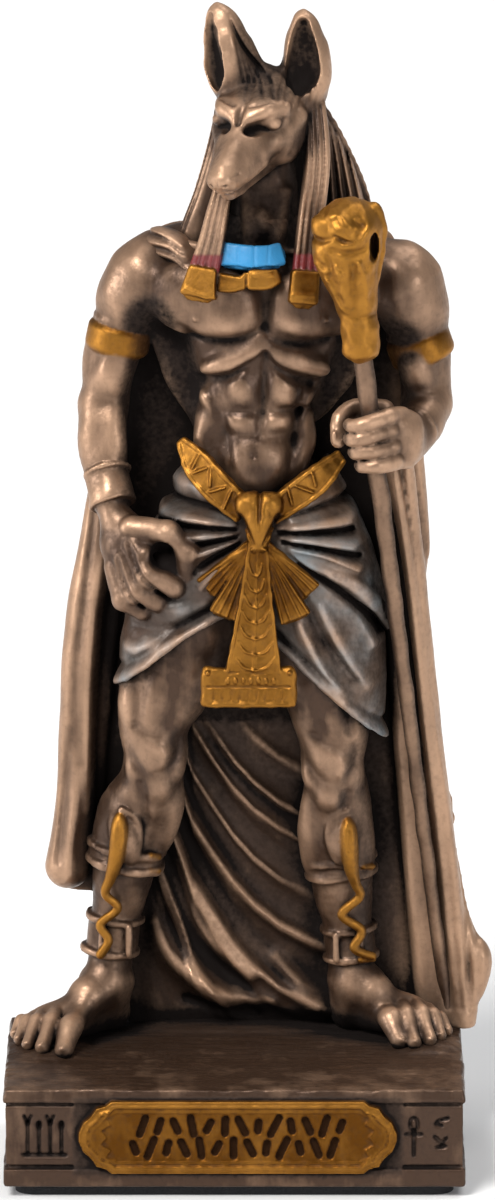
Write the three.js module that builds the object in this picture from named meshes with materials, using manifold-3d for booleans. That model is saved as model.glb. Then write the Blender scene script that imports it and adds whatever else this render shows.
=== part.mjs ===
// Jackal-headed god standing with a staff: a small solid casting in bronzed resin,
// on a block plinth with a raised name plaque and a felt pad under it.
// Millimetres, +Z up, origin at the middle of the underside, front towards -Y.
import * as THREE from 'three';
import { mergeVertices } from 'three/addons/utils/BufferGeometryUtils.js';
import Module from 'manifold-3d';

const wasm = await Module();
wasm.setup();

// Driving sizes
const figureHeight = 81.3;      // sole to ear tip
const plinthWidth = 35.4;
const plinthDepth = 20.6;
const plinthHeight = 7.9;
const plinthCorner = 0.6;       // radius of the upright corners
const lipHeight = 1.2;          // plain band round the top of the plinth
const footBandHeight = 1.5;     // plain band round its bottom
const panelRecess = 0.22;       // how far the sides stand back between the bands
const padThickness = 0.8;
const padInset = 0.9;           // pad edge inside the plinth edge
const padCorner = 1.6;
const figureSetBack = 5.0;      // figure axis behind the middle of the plinth
const plaqueWidth = 24.3;
const plaqueHeight = 5.7;
const plaqueStandOut = 0.45;    // plaque face in front of the bands
const plaqueRim = 0.42;
const plaqueSink = 0.22;        // depth of the plaque's field behind its rim
const plaqueShift = 0.25;       // plaque centre to the right of the plinth centre
const strokeWidth = 0.36;
const strokeDepth = 0.18;       // sunk strokes on plaque and panel
const strokeCount = 12;         // strokes in each of the two rows on the plaque
const strokeRowsWidth = 15.6;
const columnCount = 4;          // papyrus columns on the left of the panel
const columnPitch = 0.84;
const columnHeight = 3.1;
const loopCrossHeight = 3.1;    // looped cross on the right of the panel
const ornamentGap = 1.1;        // ornaments clear of the plaque's ends
const carvingPitch = 0.62;      // sampling of the figure, in hundredths of its height
const figureFacets = 8000;      // triangles kept on the figure

// The figure is carved in hundredths of its own height, from its axis on the plinth top
const hundredth = figureHeight / 100;
const plinthTop = padThickness + plinthHeight;
const carveLow = [-23, -13.5, -1.4];
const carveHigh = [27.5, 10.5, 101.5];
const farAway = 4;

// Small vector sums
const minus = (a, b) => a.map((v, i) => v - b[i]);
const plus = (a, b) => a.map((v, i) => v + b[i]);
const times = (a, k) => a.map((v) => v * k);
const dot = (a, b) => a[0] * b[0] + a[1] * b[1] + a[2] * b[2];
const cross = (a, b) => [
  a[1] * b[2] - a[2] * b[1],
  a[2] * b[0] - a[0] * b[2],
  a[0] * b[1] - a[1] * b[0],
];
const unit = (a) => times(a, 1 / Math.hypot(...a));
const mix = (a, b, t) => a.map((v, i) => v + (b[i] - v) * t);
const clamp = (v, low, high) => Math.min(Math.max(v, low), high);

// A block of samples of the distance to the surface, negative inside
class Layer {
  constructor() {
    this.count = carveLow.map((low, i) => Math.ceil((carveHigh[i] - low) / carvingPitch) + 1);
    this.values = new Float32Array(this.count[0] * this.count[1] * this.count[2]).fill(farAway);
  }

  // Calls change(value, x, y, z) on every sample of a box and keeps what it returns
  shape(low, high, change) {
    const [nx, ny, nz] = this.count;
    const first = [0, 1, 2].map((i) => Math.max(Math.floor((low[i] - carveLow[i]) / carvingPitch), 0));
    const last = [nx, ny, nz].map((n, i) =>
      Math.min(Math.ceil((high[i] - carveLow[i]) / carvingPitch), n - 1));
    for (let i = first[0]; i <= last[0]; i += 1) {
      for (let j = first[1]; j <= last[1]; j += 1) {
        let at = (i * ny + j) * nz + first[2];
        for (let k = first[2]; k <= last[2]; k += 1) {
          this.values[at] = change(
            this.values[at],
            carveLow[0] + i * carvingPitch,
            carveLow[1] + j * carvingPitch,
            carveLow[2] + k * carvingPitch,
          );
          at += 1;
        }
      }
    }
  }

  // Joins or cuts a form given by its own distance, with a soft seam
  form(low, high, soft, cut, distance) {
    const pad = soft + 0.8;
    const blend = cut ? softCut : softJoin;
    this.shape(minus(low, [pad, pad, pad]), plus(high, [pad, pad, pad]),
      (value, x, y, z) => blend(value, distance(x, y, z), soft));
  }
}

function softJoin(a, b, soft) {
  if (soft <= 0) return Math.min(a, b);
  const h = clamp(0.5 + (0.5 * (a - b)) / soft, 0, 1);
  return a + (b - a) * h - soft * h * (1 - h);
}

function softCut(a, b, soft) {
  return -softJoin(-a, b, soft);
}

// Points of a smooth line through the given ones, with any further columns carried along
function smoothPath(points, steps) {
  if (points.length < 3 || steps < 2) return points;
  const out = [];
  const last = points.length - 1;
  for (let i = 0; i < last; i += 1) {
    const [p0, p1, p2, p3] = [points[Math.max(i - 1, 0)], points[i], points[i + 1],
      points[Math.min(i + 2, last)]];
    for (let s = 0; s < steps; s += 1) {
      const t = s / steps;
      out.push(p1.map((_, c) => 0.5 * (2 * p1[c] + (p2[c] - p0[c]) * t
        + (2 * p0[c] - 5 * p1[c] + 4 * p2[c] - p3[c]) * t * t
        + (3 * p1[c] - p0[c] - 3 * p2[c] + p3[c]) * t ** 3)));
    }
  }
  out.push(points[last]);
  return out;
}

function reach(path, radius) {
  const low = [0, 1, 2].map((c) => Math.min(...path.map((p) => p[c])) - radius);
  const high = [0, 1, 2].map((c) => Math.max(...path.map((p) => p[c])) + radius);
  return [low, high];
}

// Round limb along points of x, y, z, radius
function limb(layer, points, soft = 0.6, steps = 3, cut = false) {
  const path = smoothPath(points, steps);
  const parts = path.slice(1).map((b, i) => {
    const a = path[i];
    const along = minus(b, a);
    return { a, along, square: dot(along, along) + 1e-9 };
  });
  const [low, high] = reach(path, Math.max(...path.map((p) => p[3])));
  layer.form(low, high, soft, cut, (x, y, z) => {
    let best = Infinity;
    for (const { a, along, square } of parts) {
      const px = x - a[0];
      const py = y - a[1];
      const pz = z - a[2];
      const t = clamp((px * along[0] + py * along[1] + pz * along[2]) / square, 0, 1);
      const away = Math.hypot(px - t * along[0], py - t * along[1], pz - t * along[2]);
      best = Math.min(best, away - a[3] - t * along[3]);
    }
    return best;
  });
}

// Three square axes: along a direction, sideways, and out towards a face
function axesFor(along, face) {
  if (!along) return [[1, 0, 0], [0, 1, 0], [0, 0, 1]];
  const first = unit(along);
  const out = face || [0, -1, 0];
  const third = unit(minus(out, times(first, dot(out, first))));
  return [first, cross(third, first), third];
}

// Ellipsoid with radii along, sideways and out
function blob(layer, centre, radii, soft = 0.6, along = null, face = null, cut = false) {
  const axes = axesFor(along, face);
  const span = [0, 1, 2].map((i) => Math.hypot(...axes.map((e, n) => e[i] * radii[n])));
  layer.form(minus(centre, span), plus(centre, span), soft, cut, (x, y, z) => {
    let near = 0;
    let slope = 1e-12;
    for (let n = 0; n < 3; n += 1) {
      const e = axes[n];
      const q = ((x - centre[0]) * e[0] + (y - centre[1]) * e[1] + (z - centre[2]) * e[2]) / radii[n];
      near += q * q;
      slope += (q / radii[n]) ** 2;
    }
    near = Math.sqrt(near);
    return (near * (near - 1)) / Math.sqrt(slope);
  });
}

// Muscle belly between two points, with a width across and a depth towards its face
function muscle(layer, a, b, width, depth, face = [0, -1, 0], soft = 0.6) {
  const length = Math.hypot(...minus(b, a));
  blob(layer, mix(a, b, 0.5), [length * 0.56, width, depth], soft, minus(b, a), face);
}

// Flat strap along points of x, y, z, half width, half thickness
function strap(layer, points, face, soft = 0.2, edge = 0.15, steps = 3) {
  const path = smoothPath(points, steps);
  const parts = path.slice(1).map((b, i) => {
    const a = path[i];
    const step = minus(b, a);
    const length = Math.hypot(step[0], step[1], step[2]);
    const axes = axesFor(step.slice(0, 3), face);
    return { a, step, length, axes, round: Math.min(edge, Math.min(a[4], b[4]) * 0.95) };
  });
  const [low, high] = reach(path, Math.max(...path.map((p) => p[3])));
  layer.form(low, high, soft, false, (x, y, z) => {
    let best = Infinity;
    for (const { a, step, length, axes, round } of parts) {
      const p = [x - a[0], y - a[1], z - a[2]];
      const u = dot(p, axes[0]);
      const t = clamp(u / length, 0, 1);
      const across = Math.abs(dot(p, axes[1])) - (a[3] + t * step[3] - round);
      const out = Math.abs(dot(p, axes[2])) - (a[4] + t * step[4] - round);
      const away = Math.hypot(Math.max(across, 0), Math.max(out, 0), u - t * length);
      best = Math.min(best, away + Math.min(Math.max(across, out), 0) - round);
    }
    return best;
  });
}

// Rounded block with half sizes along, sideways and out
function roundBlock(layer, centre, half, edge, soft = 0.2, along = null, face = null) {
  const axes = axesFor(along, face);
  const span = [0, 1, 2].map((i) => axes.reduce((sum, e, n) => sum + Math.abs(e[i]) * half[n], 0));
  layer.form(minus(centre, span), plus(centre, span), soft, false, (x, y, z) => {
    const p = [x - centre[0], y - centre[1], z - centre[2]];
    const q = axes.map((e, n) => Math.abs(dot(p, e)) - (half[n] - edge));
    const away = Math.hypot(Math.max(q[0], 0), Math.max(q[1], 0), Math.max(q[2], 0));
    return away + Math.min(Math.max(q[0], q[1], q[2]), 0) - edge;
  });
}

// Band round a limb: a disc across an axis, with rounded edges
function band(layer, centre, axis, radius, half, edge) {
  const e = unit(axis);
  const span = [radius + half, radius + half, radius + half];
  layer.form(minus(centre, span), plus(centre, span), 0.15, false, (x, y, z) => {
    const p = [x - centre[0], y - centre[1], z - centre[2]];
    const u = dot(p, e);
    const out = Math.sqrt(Math.max(dot(p, p) - u * u, 0)) - (radius - edge);
    const up = Math.abs(u) - (half - edge);
    return Math.hypot(Math.max(out, 0), Math.max(up, 0)) + Math.min(Math.max(out, up), 0) - edge;
  });
}

// Ridge or groove drawn on the surface along points of x, z, width, height
function fold(layer, points, yLow, yHigh, steps = 3) {
  const path = smoothPath(points, steps);
  const spread = 2.4 * Math.max(...path.map((p) => p[2]));
  const xs = path.map((p) => p[0]);
  const zs = path.map((p) => p[1]);
  const low = [Math.min(...xs) - spread, yLow, Math.min(...zs) - spread];
  const high = [Math.max(...xs) + spread, yHigh, Math.max(...zs) + spread];
  layer.shape(low, high, (value, x, y, z) => {
    let lift = 0;
    for (let i = 1; i < path.length; i += 1) {
      const [a, b] = [path[i - 1], path[i]];
      const ux = b[0] - a[0];
      const uz = b[1] - a[1];
      const t = clamp(((x - a[0]) * ux + (z - a[1]) * uz) / (ux * ux + uz * uz + 1e-9), 0, 1);
      const square = (x - a[0] - t * ux) ** 2 + (z - a[1] - t * uz) ** 2;
      const width = a[2] + t * (b[2] - a[2]);
      const rise = (a[3] + t * (b[3] - a[3])) * Math.exp(-square / (width * width));
      if (Math.abs(rise) > Math.abs(lift)) lift = rise;
    }
    return value - lift;
  });
}

// Value at a place along a rising list of places
function between(place, places, values) {
  if (place <= places[0]) return values[0];
  for (let i = 1; i < places.length; i += 1) {
    if (place <= places[i]) {
      const t = (place - places[i - 1]) / (places[i] - places[i - 1]);
      return values[i - 1] + t * (values[i] - values[i - 1]);
    }
  }
  return values[values.length - 1];
}

const easeStep = (v) => {
  const t = clamp(v, 0, 1);
  return t * t * (3 - 2 * t);
};

// Where the parts of the figure stand, in hundredths of its height
const neckRoot = [2.9, 0.6, 74];
const shoulderLine = [2.9, 1.8, 78];
const leftShoulder = [-8.2, 1.0, 73.6];
const leftElbow = [-12.4, 1.5, 61.2];
const leftWrist = [-11.1, -2.6, 50.8];
const rightShoulder = [15.7, 1.0, 73.0];
const rightElbow = [18.1, 0.8, 61.5];
const rightWrist = [15.8, -5.4, 58.6];
const muzzleTip = [-1.35, -8.6, 84.7];
const staffTop = [11.7, -8.2, 70];
const staffFoot = [20.6, 3.0, -0.5];
const knot = [2.4, -6.5, 51.8];
const leftLeg = {
  side: -1,
  hip: [-2.6, 0.6, 46],
  knee: [-7.5, -1.9, 28.2],
  calf: [-9.8, 0.3, 21.0],
  cuff: [-11.6, 0.9, 9.6],
  ankle: [-12.3, 0.2, 4.8],
  heel: [-12.2, 2.2, 1.6],
  ball: [-15.9, -3.2, 2.0],
  toes: [[-15.9, -7.9, 1.0], [-18.1, -7.3, 0.8], [-19.5, -5.9, 0.72], [-20.4, -4.2, 0.66],
    [-20.8, -2.4, 0.6]],
};
const rightLeg = {
  side: 1,
  hip: [7.6, 0.6, 45],
  knee: [9.3, -1.8, 27.3],
  calf: [9.8, 0.6, 19.5],
  cuff: [10.9, 1.3, 8.6],
  ankle: [11.6, 0.6, 4.8],
  heel: [11.2, 2.6, 1.6],
  ball: [15.4, -1.6, 2.4],
  toes: [[16.2, -4.9, 1.0], [17.8, -5.6, 0.8], [19.0, -5.1, 0.72], [19.9, -3.9, 0.66],
    [20.6, -2.2, 0.6]],
};
const forwards = [0, -1, 0];

function carveTorso(skin) {
  const [mid] = neckRoot;
  blob(skin, [2.7, 0.8, 69.5], [7.6, 5.2, 9.5], 0);
  blob(skin, [1.5, 0.5, 60], [5.2, 4.5, 9.0], 1.5);
  blob(skin, [2.1, 0.5, 51], [7.2, 4.9, 7.5], 1.5);
  limb(skin, [[mid, 1.6, 85, 3.0], [mid, 1.0, 77, 3.4], [...neckRoot, 3.6]], 0.8);
  limb(skin, [[...shoulderLine, 2.6], [-7.5, 1.4, 75.4, 2.6]], 1.5);
  limb(skin, [[...shoulderLine, 2.6], [15.0, 1.4, 74.2, 2.8]], 1.5);
  for (const [side, far] of [[-1, -7.9], [1, 13.2]]) {
    // chest, back muscle, rib arches, belly muscles, flank
    muscle(skin, [mid + side, -3.9, 71.6], [far, -1.4, 72.6], 3.7, 2.4, [0, -1, -0.1], 0.35);
    muscle(skin, [far - side * 0.6, 1.2, 71], [2 + side * 4.4, 1.2, 60], 1.5, 3, [side, -0.6, 0], 1.2);
    muscle(skin, [mid + side * 0.2, -3.7, 68], [mid + side * 5.8, -2.4, 65.3], 1.6, 1.6,
      [side * 0.3, -1, 0], 0.8);
    muscle(skin, [2.2 + side * 4.9, -1.5, 63.6], [1.8 + side * 3.0, -2.7, 62.0], 1.2, 1.4,
      [side * 0.5, -1, 0], 0.8);
    blob(skin, [2.75 + side * 1.75, -2.8, 64.2], [1.75, 1.5, 2.4], 0.7);
    blob(skin, [2.6 + side * 1.75, -3.0, 60.6], [1.7, 1.4, 2.0], 0.7);
    muscle(skin, [1.9 + side * 5.0, -1.0, 60.5], [1.9 + side * 3.2, -2.6, 54.5], 1.5, 1.6,
      [side * 0.6, -1, 0], 0.8);
  }
  blob(skin, [2.3, -2.5, 55.8], [3.3, 2.3, 4.6], 0.8);
  fold(skin, [[2.95, 74, 0.6, -0.3], [2.9, 66, 0.5, -0.5], [2.5, 58.8, 0.4, -0.4]], -8, -1);
  fold(skin, [[-0.4, 62.3, 0.4, -0.25], [2.6, 62.4, 0.4, -0.45], [5.6, 62.3, 0.4, -0.25]], -8, -1);
  fold(skin, [[-0.6, 58.9, 0.4, -0.25], [2.5, 59.3, 0.4, -0.4], [5.4, 58.9, 0.4, -0.25]], -8, -1);
}

function carveArms(skin) {
  limb(skin, [[...leftShoulder, 3.7], [-9.8, 1.3, 70.6, 3.1], [-11.2, 1.6, 66.5, 2.4],
    [...leftElbow, 2.2]], 0.8);
  muscle(skin, [-7.4, 0.3, 76.4], [-11.3, 0.8, 69.8], 3.3, 3.0, [-1, -1, 0.3]);
  muscle(skin, [-10.7, 0.4, 68.0], [-12.0, 0.0, 62.6], 2.0, 1.6);
  limb(skin, [[...leftElbow, 2.3], [-12.4, 0.5, 57.5, 2.2], [-11.9, -0.9, 54.0, 1.85],
    [...leftWrist, 1.5]]);
  limb(skin, [[...rightShoulder, 3.9], [17.0, 1.3, 69.6, 3.1], [17.9, 1.6, 65.0, 2.5],
    [...rightElbow, 2.3]], 0.8);
  muscle(skin, [14.4, 0.3, 75.8], [18.4, 0.8, 68.4], 3.5, 3.2, [1, -1, 0.3]);
  limb(skin, [[...rightElbow, 2.3], [17.6, -1.6, 60.2, 2.2], [16.5, -4.0, 59.0, 1.9],
    [...rightWrist, 1.9]]);
}

// Open hand: palm, a pointing finger that curls back to the thumb, three bent fingers
function carveOpenHand(skin) {
  blob(skin, [-10.0, -3.7, 48.2], [4.2, 2.2, 1.7], 0.5, [0.2, -0.3, -1], [-0.3, -1, 0]);
  blob(skin, [-9.2, -4.0, 49.2], [2.3, 1.9, 1.6], 0.5, [1, -0.4, 0.2], [-0.3, -1, 0]);
  limb(skin, [[-8.9, -4.7, 50.1, 1.2], [-5.8, -5.9, 50.1, 0.95], [-3.9, -5.8, 48.0, 0.9],
    [-4.3, -5.0, 45.8, 0.85]], 0.25);
  limb(skin, [[-8.6, -3.4, 51.2, 1.1], [-5.9, -3.4, 50.0, 0.95], [-4.3, -3.8, 47.4, 0.9],
    [-4.4, -4.6, 46.0, 0.85]], 0.3);
  limb(skin, [[-9.5, -5.0, 48.2, 1.2], [-7.8, -6.6, 45.4, 1.0], [-4.9, -6.2, 44.6, 0.9]], 0.15);
  limb(skin, [[-10.2, -4.8, 46.7, 1.1], [-9.0, -6.0, 43.5, 0.95], [-6.6, -5.4, 42.7, 0.85]], 0.15);
  limb(skin, [[-10.9, -4.2, 45.4, 1.0], [-10.3, -5.0, 42.3, 0.9], [-8.6, -4.8, 41.5, 0.8]], 0.15);
}

// Fist round the staff: back of the hand, four fingers one under another, thumb
function carveFist(skin) {
  roundBlock(skin, [15.2, -5.9, 58.6], [1.8, 2.0, 2.9], 0.9, 0.5, [1, 0.35, 0.1], [0, 0, 1]);
  const fingerPitch = 1.5;
  [11.0, 10.8, 11.3, 11.9].forEach((tip, i) => {
    const z = 61.1 - fingerPitch * i;
    const x = 14.4 + 0.1 * i;
    limb(skin, [[x + 0.9, -6.6, z - 0.1, 0.95], [x - 0.4, -8.4, z, 0.8],
      [tip + 0.3, -8.6, z - 0.1, 0.76], [tip, -7.4, z - 0.2, 0.7]], 0.1);
  });
  limb(skin, [[14.0, -4.6, 61.5, 1.1], [11.0, -4.9, 62.0, 0.9], [9.8, -6.2, 60.9, 0.8],
    [10.0, -7.0, 59.0, 0.75]], 0.2);
}

function carveLeg(skin, { side, hip, knee, calf, cuff, heel }) {
  const [kx, ky, kz] = knee;
  const shin = [kx + side * 0.5, ky + 0.9];
  limb(skin, [[...hip, 5.7], [(hip[0] + kx) / 2 - side * 0.2, -0.8, (hip[2] + kz) / 2 + 1, 4.8],
    [kx, ky + 0.2, kz + 3.6, 3.5], [kx, ky, kz, 3.0], [...shin, kz - 4, 2.8]], 0.8);
  limb(skin, [[...shin, kz - 3.4, 2.8], [...calf, 3.5],
    [(calf[0] + cuff[0]) / 2, calf[1] + 0.3, (calf[2] + cuff[2]) / 2, 2.8], [...cuff, 2.2],
    [heel[0], heel[1] - 1.0, 3.0, 2.1]], 0.8);
  blob(skin, [kx, ky - 2.1, kz + 0.3], [1.45, 1.3, 1.6], 0.4);
  muscle(skin, [kx - 2.1, ky + 0.2, kz + 6.0], [kx - 1.5, ky - 1.1, kz + 1.6], 1.5, 1.7, [-0.4, -1, 0]);
  muscle(skin, [kx + 2.1, ky + 0.2, kz + 6.4], [kx + 1.5, ky - 1.1, kz + 1.8], 1.5, 1.7, [0.4, -1, 0]);
  muscle(skin, [kx + 0.2 * side, ky - 1.6, kz - 2.6], [kx + 0.5 * side, ky - 0.8, kz - 5.4], 1.1, 1.2,
    forwards, 0.5);
  fold(skin, [[kx - 2.2, kz - 0.4, 0.5, -0.2], [kx, kz - 2.0, 0.5, -0.4], [kx + 2.2, kz - 0.6, 0.5, -0.2]],
    -9, -2);
}

function carveFoot(skin, { ankle, ball, heel, toes }) {
  const instep = plus(mix(ankle, ball, 0.5), [0, 0, 0.5]);
  limb(skin, [[...ankle, 2.1], [...instep, 1.9], [...ball, 1.5]], 0.7);
  limb(skin, [[...heel, 1.9], [...plus(ball, [0, 0.4, -0.5]), 1.5]], 0.7);
  limb(skin, [[...plus(ankle, [0, 0, 0.5]), 2.0], [...heel, 1.9]], 0.7);
  for (const [x, y, thick] of toes) {
    const root = [ball[0] + (x - ball[0]) * 0.3, ball[1] + (y - ball[1]) * 0.3, 1.5];
    const knuckle = [root[0] + (x - root[0]) * 0.55, root[1] + (y - root[1]) * 0.55, 2.0];
    limb(skin, [[...root, thick * 1.15], [...knuckle, thick], [x, y, 0.55, thick * 0.9]], 0.14, 2);
  }
}

function carveHead(skin) {
  const gaze = [-0.50, -0.80, -0.30];
  blob(skin, [3.0, 0.6, 88.6], [4.8, 4.1, 4.3], 0.4, gaze, [0, 0, 1]);
  limb(skin, [[2.2, -1.6, 87.9, 3.1], [1.0, -4.2, 87.0, 2.3], [-0.5, -7.0, 85.6, 1.45],
    [...muzzleTip, 1.05]]);
  limb(skin, [[4.0, -0.4, 85.3, 2.0], [1.4, -4.6, 84.5, 1.35], [-0.6, -7.6, 83.5, 0.75]], 0.4);
  blob(skin, [5.2, -1.4, 87.0], [1.9, 2.6, 2.8]);
  blob(skin, [-0.5, -2.6, 87.2], [1.4, 1.8, 2.2]);
  // brows, sockets, eye, mouth line
  limb(skin, [[0.9, -4.4, 90.1, 0.3], [2.2, -4.1, 90.6, 0.45], [4.0, -3.5, 90.7, 0.45],
    [5.3, -2.4, 90.2, 0.35]], 0.5);
  limb(skin, [[0.2, -4.5, 90.0, 0.3], [-1.0, -4.0, 90.5, 0.45], [-1.8, -3.2, 90.3, 0.4]], 0.5);
  blob(skin, [1.9, -4.9, 88.9], [1.2, 0.9, 0.75], 0.5, null, null, true);
  blob(skin, [-1.3, -4.7, 89.0], [0.7, 0.9, 0.7], 0.4, null, null, true);
  blob(skin, [3.6, -3.6, 89.3], [0.8, 0.7, 0.6], 0.12);
  fold(skin, [[-2.6, 84.6, 0.35, -0.15], [0.0, 84.0, 0.35, -0.35], [3.0, 84.9, 0.35, -0.15]], -12, -4);
}

// Upright ear, hollowed on the side it faces
function carveEar(skin, base, mid, tip, width, facing) {
  const out = times(unit(facing), width * 0.72);
  limb(skin, [[...base, width * 0.74], [...mix(base, mid, 0.5), width * 0.98], [...mid, width * 0.98],
    [...mix(mid, tip, 0.5), width * 0.74], [...mix(mid, tip, 0.8), width * 0.42], [...tip, 0.3]], 0.4);
  limb(skin, [[...plus(mix(base, mid, 0.2), out), width * 0.38],
    [...plus(mix(base, mid, 0.8), out), width * 0.7],
    [...plus(mix(mid, tip, 0.5), times(out, 0.95)), width * 0.55],
    [...plus(mix(mid, tip, 0.75), times(out, 0.7)), 0.3]], 0.2, 3, true);
}

function carveEars(skin) {
  const width = 2.5;
  carveEar(skin, [0.9, 1.2, 90.8], [-0.3, 1.2, 94.0], [-1.2, 1.6, 99.5], width, [-0.93, -0.36, 0.05]);
  carveEar(skin, [6.1, 1.4, 90.6], [6.7, 1.4, 93.8], [6.5, 1.9, 99.0], width, [-0.42, -0.9, 0.1]);
}

// Headcloth: back fall with grooved locks, and a lappet down each side of the face
function carveHeadcloth(wig) {
  blob(wig, [3.3, 2.0, 88.8], [5.0, 4.0, 3.6], 0.5);
  strap(wig, [[3.4, 2.8, 89.5, 5.2, 2.5], [4.1, 3.0, 85.5, 7.0, 2.4], [4.4, 3.4, 81.0, 8.7, 2.2],
    [4.7, 3.6, 76.0, 9.8, 1.8]], forwards, 0.6, 1.6);
  strap(wig, [[7.6, -0.4, 91.0, 1.2, 0.9], [7.4, -1.6, 85.0, 1.4, 0.9], [6.8, -3.0, 79.0, 1.4, 0.9],
    [6.2, -4.7, 74.0, 1.4, 0.8]], [0.15, -1, 0], 0.2, 0.4);
  strap(wig, [[-1.2, -1.6, 83.6, 0.8, 0.8], [-1.9, -2.8, 80.6, 1.1, 0.9], [-2.4, -3.7, 78.0, 1.3, 0.9],
    [-3.0, -4.8, 74.6, 1.6, 0.8]], [-0.15, -1, 0], 0.2, 0.4);
  const lockCount = 5;
  for (let i = 0; i < lockCount; i += 1) {
    const across = i / (lockCount - 1);
    fold(wig, [[7.2 + 1.6 * across, 91.5, 0.3, -0.25], [7.6 + 3.4 * across, 86, 0.4, -0.5],
      [7.9 + 5.4 * across, 79, 0.45, -0.5]], -1, 8);
    fold(wig, [[2.0 + 3.2 * across, 91, 0.4, -0.3], [0 + 8.0 * across, 84, 0.5, -0.5],
      [-2.5 + 13.0 * across, 77, 0.5, -0.5]], 3.5, 9);
  }
}

function carveCollar(gold, blue) {
  strap(blue, [[-1.4, -3.4, 76.5, 1.1, 0.8], [1.7, -4.4, 76.9, 1.1, 0.8], [4.8, -3.7, 76.5, 1.1, 0.8]],
    [0, -1, 0.35], 0.1, 0.3);
  strap(gold, [[-3.0, -4.9, 75.2, 1.65, 0.8], [-3.2, -5.4, 73.4, 1.8, 0.75]], [-0.15, -1, 0], 0.1, 0.3);
  strap(gold, [[6.2, -4.7, 75.2, 1.4, 0.8], [6.0, -5.3, 72.9, 1.5, 0.75]], [0.15, -1, 0], 0.1, 0.3);
  strap(gold, [[-2.0, -4.8, 74.5, 0.9, 0.6], [1.4, -5.4, 74.8, 0.85, 0.6], [4.6, -4.8, 74.8, 0.8, 0.6]],
    [0, -1, 0.3], 0.1, 0.3);
}

// Kilt: two draped tubes and a lap between, pleats fanning from the knot, a slanting
// swag on the right, and a hem that rises from each outer side towards the middle
function carveKilt(cloth) {
  limb(cloth, [[1.0, 0.2, 54.0, 5.6], [-2.8, -0.4, 46.5, 6.0], [-5.0, -1.0, 39.0, 5.7],
    [-5.6, -1.2, 33.0, 5.5]], 0.8);
  limb(cloth, [[3.4, 0.2, 54.0, 5.6], [6.4, -0.4, 46.5, 6.2], [8.7, -0.8, 39.0, 5.6],
    [9.2, -1.0, 30.0, 5.0]], 0.8);
  blob(cloth, [2.2, -1.6, 46.0], [5.2, 4.4, 9.5], 0.8);
  const swagThickness = 0.45;
  cloth.shape(carveLow, carveHigh, (value, x, y, z) => {
    const swagLine = 49 - clamp(x - 5.2, 0, 20) * 0.83;
    const above = easeStep((z - swagLine) / 0.7) * easeStep(x - 4.5);
    return y < 2 ? value - swagThickness * above : value;
  });
  limb(cloth, [[5.6, -5.9, 48.6, 0.3], [8.6, -5.6, 45.9, 0.75], [11.6, -4.2, 43.2, 0.9],
    [13.8, -2.6, 41.5, 0.95], [14.2, -1.6, 41.0, 0.8]], 0.3);
  const pleatCount = 5;
  const pleatDepth = 0.55;
  for (let i = 0; i < pleatCount; i += 1) {
    for (const [drop, rise] of [[0, pleatDepth], [0.75, -pleatDepth]]) {
      fold(cloth, [[3.6, 51.6 - 0.25 * i - drop * 0.5, 0.3, rise * 0.3],
        [7.6, 52.6 - 1.45 * i - drop, 0.4, rise], [11.6, 52.8 - 2.35 * i - drop * 1.4, 0.5, rise]], -8, 2);
      fold(cloth, [[0.6, 52.6 - 0.7 * i - drop * 0.5, 0.3, rise * 0.3],
        [-2.6, 53.2 - 1.5 * i - drop, 0.4, rise], [-6.0, 53.8 - 2.5 * i - drop * 1.4, 0.5, rise]], -8, 2);
    }
  }
  const hemRoll = 0.4;
  cloth.shape(carveLow, carveHigh, (value, x, y, z) => {
    const waist = 53.6 + 0.11 * Math.abs(x - 2.2) ** 1.35 + 0.25 * clamp(y + 4, 0, 8);
    const hem = x < 2
      ? 35.2 + (x + 10.9) * 0.86 - 0.06 * clamp(x + 6, 0, 20) ** 2
      : 30.6 + (13.4 - x) * 0.92;
    const rolled = value - hemRoll * Math.exp(-(((z - hem - 0.5) / 0.6) ** 2));
    return Math.max(rolled, z - waist, hem - z, y - 4.5);
  });
}

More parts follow.
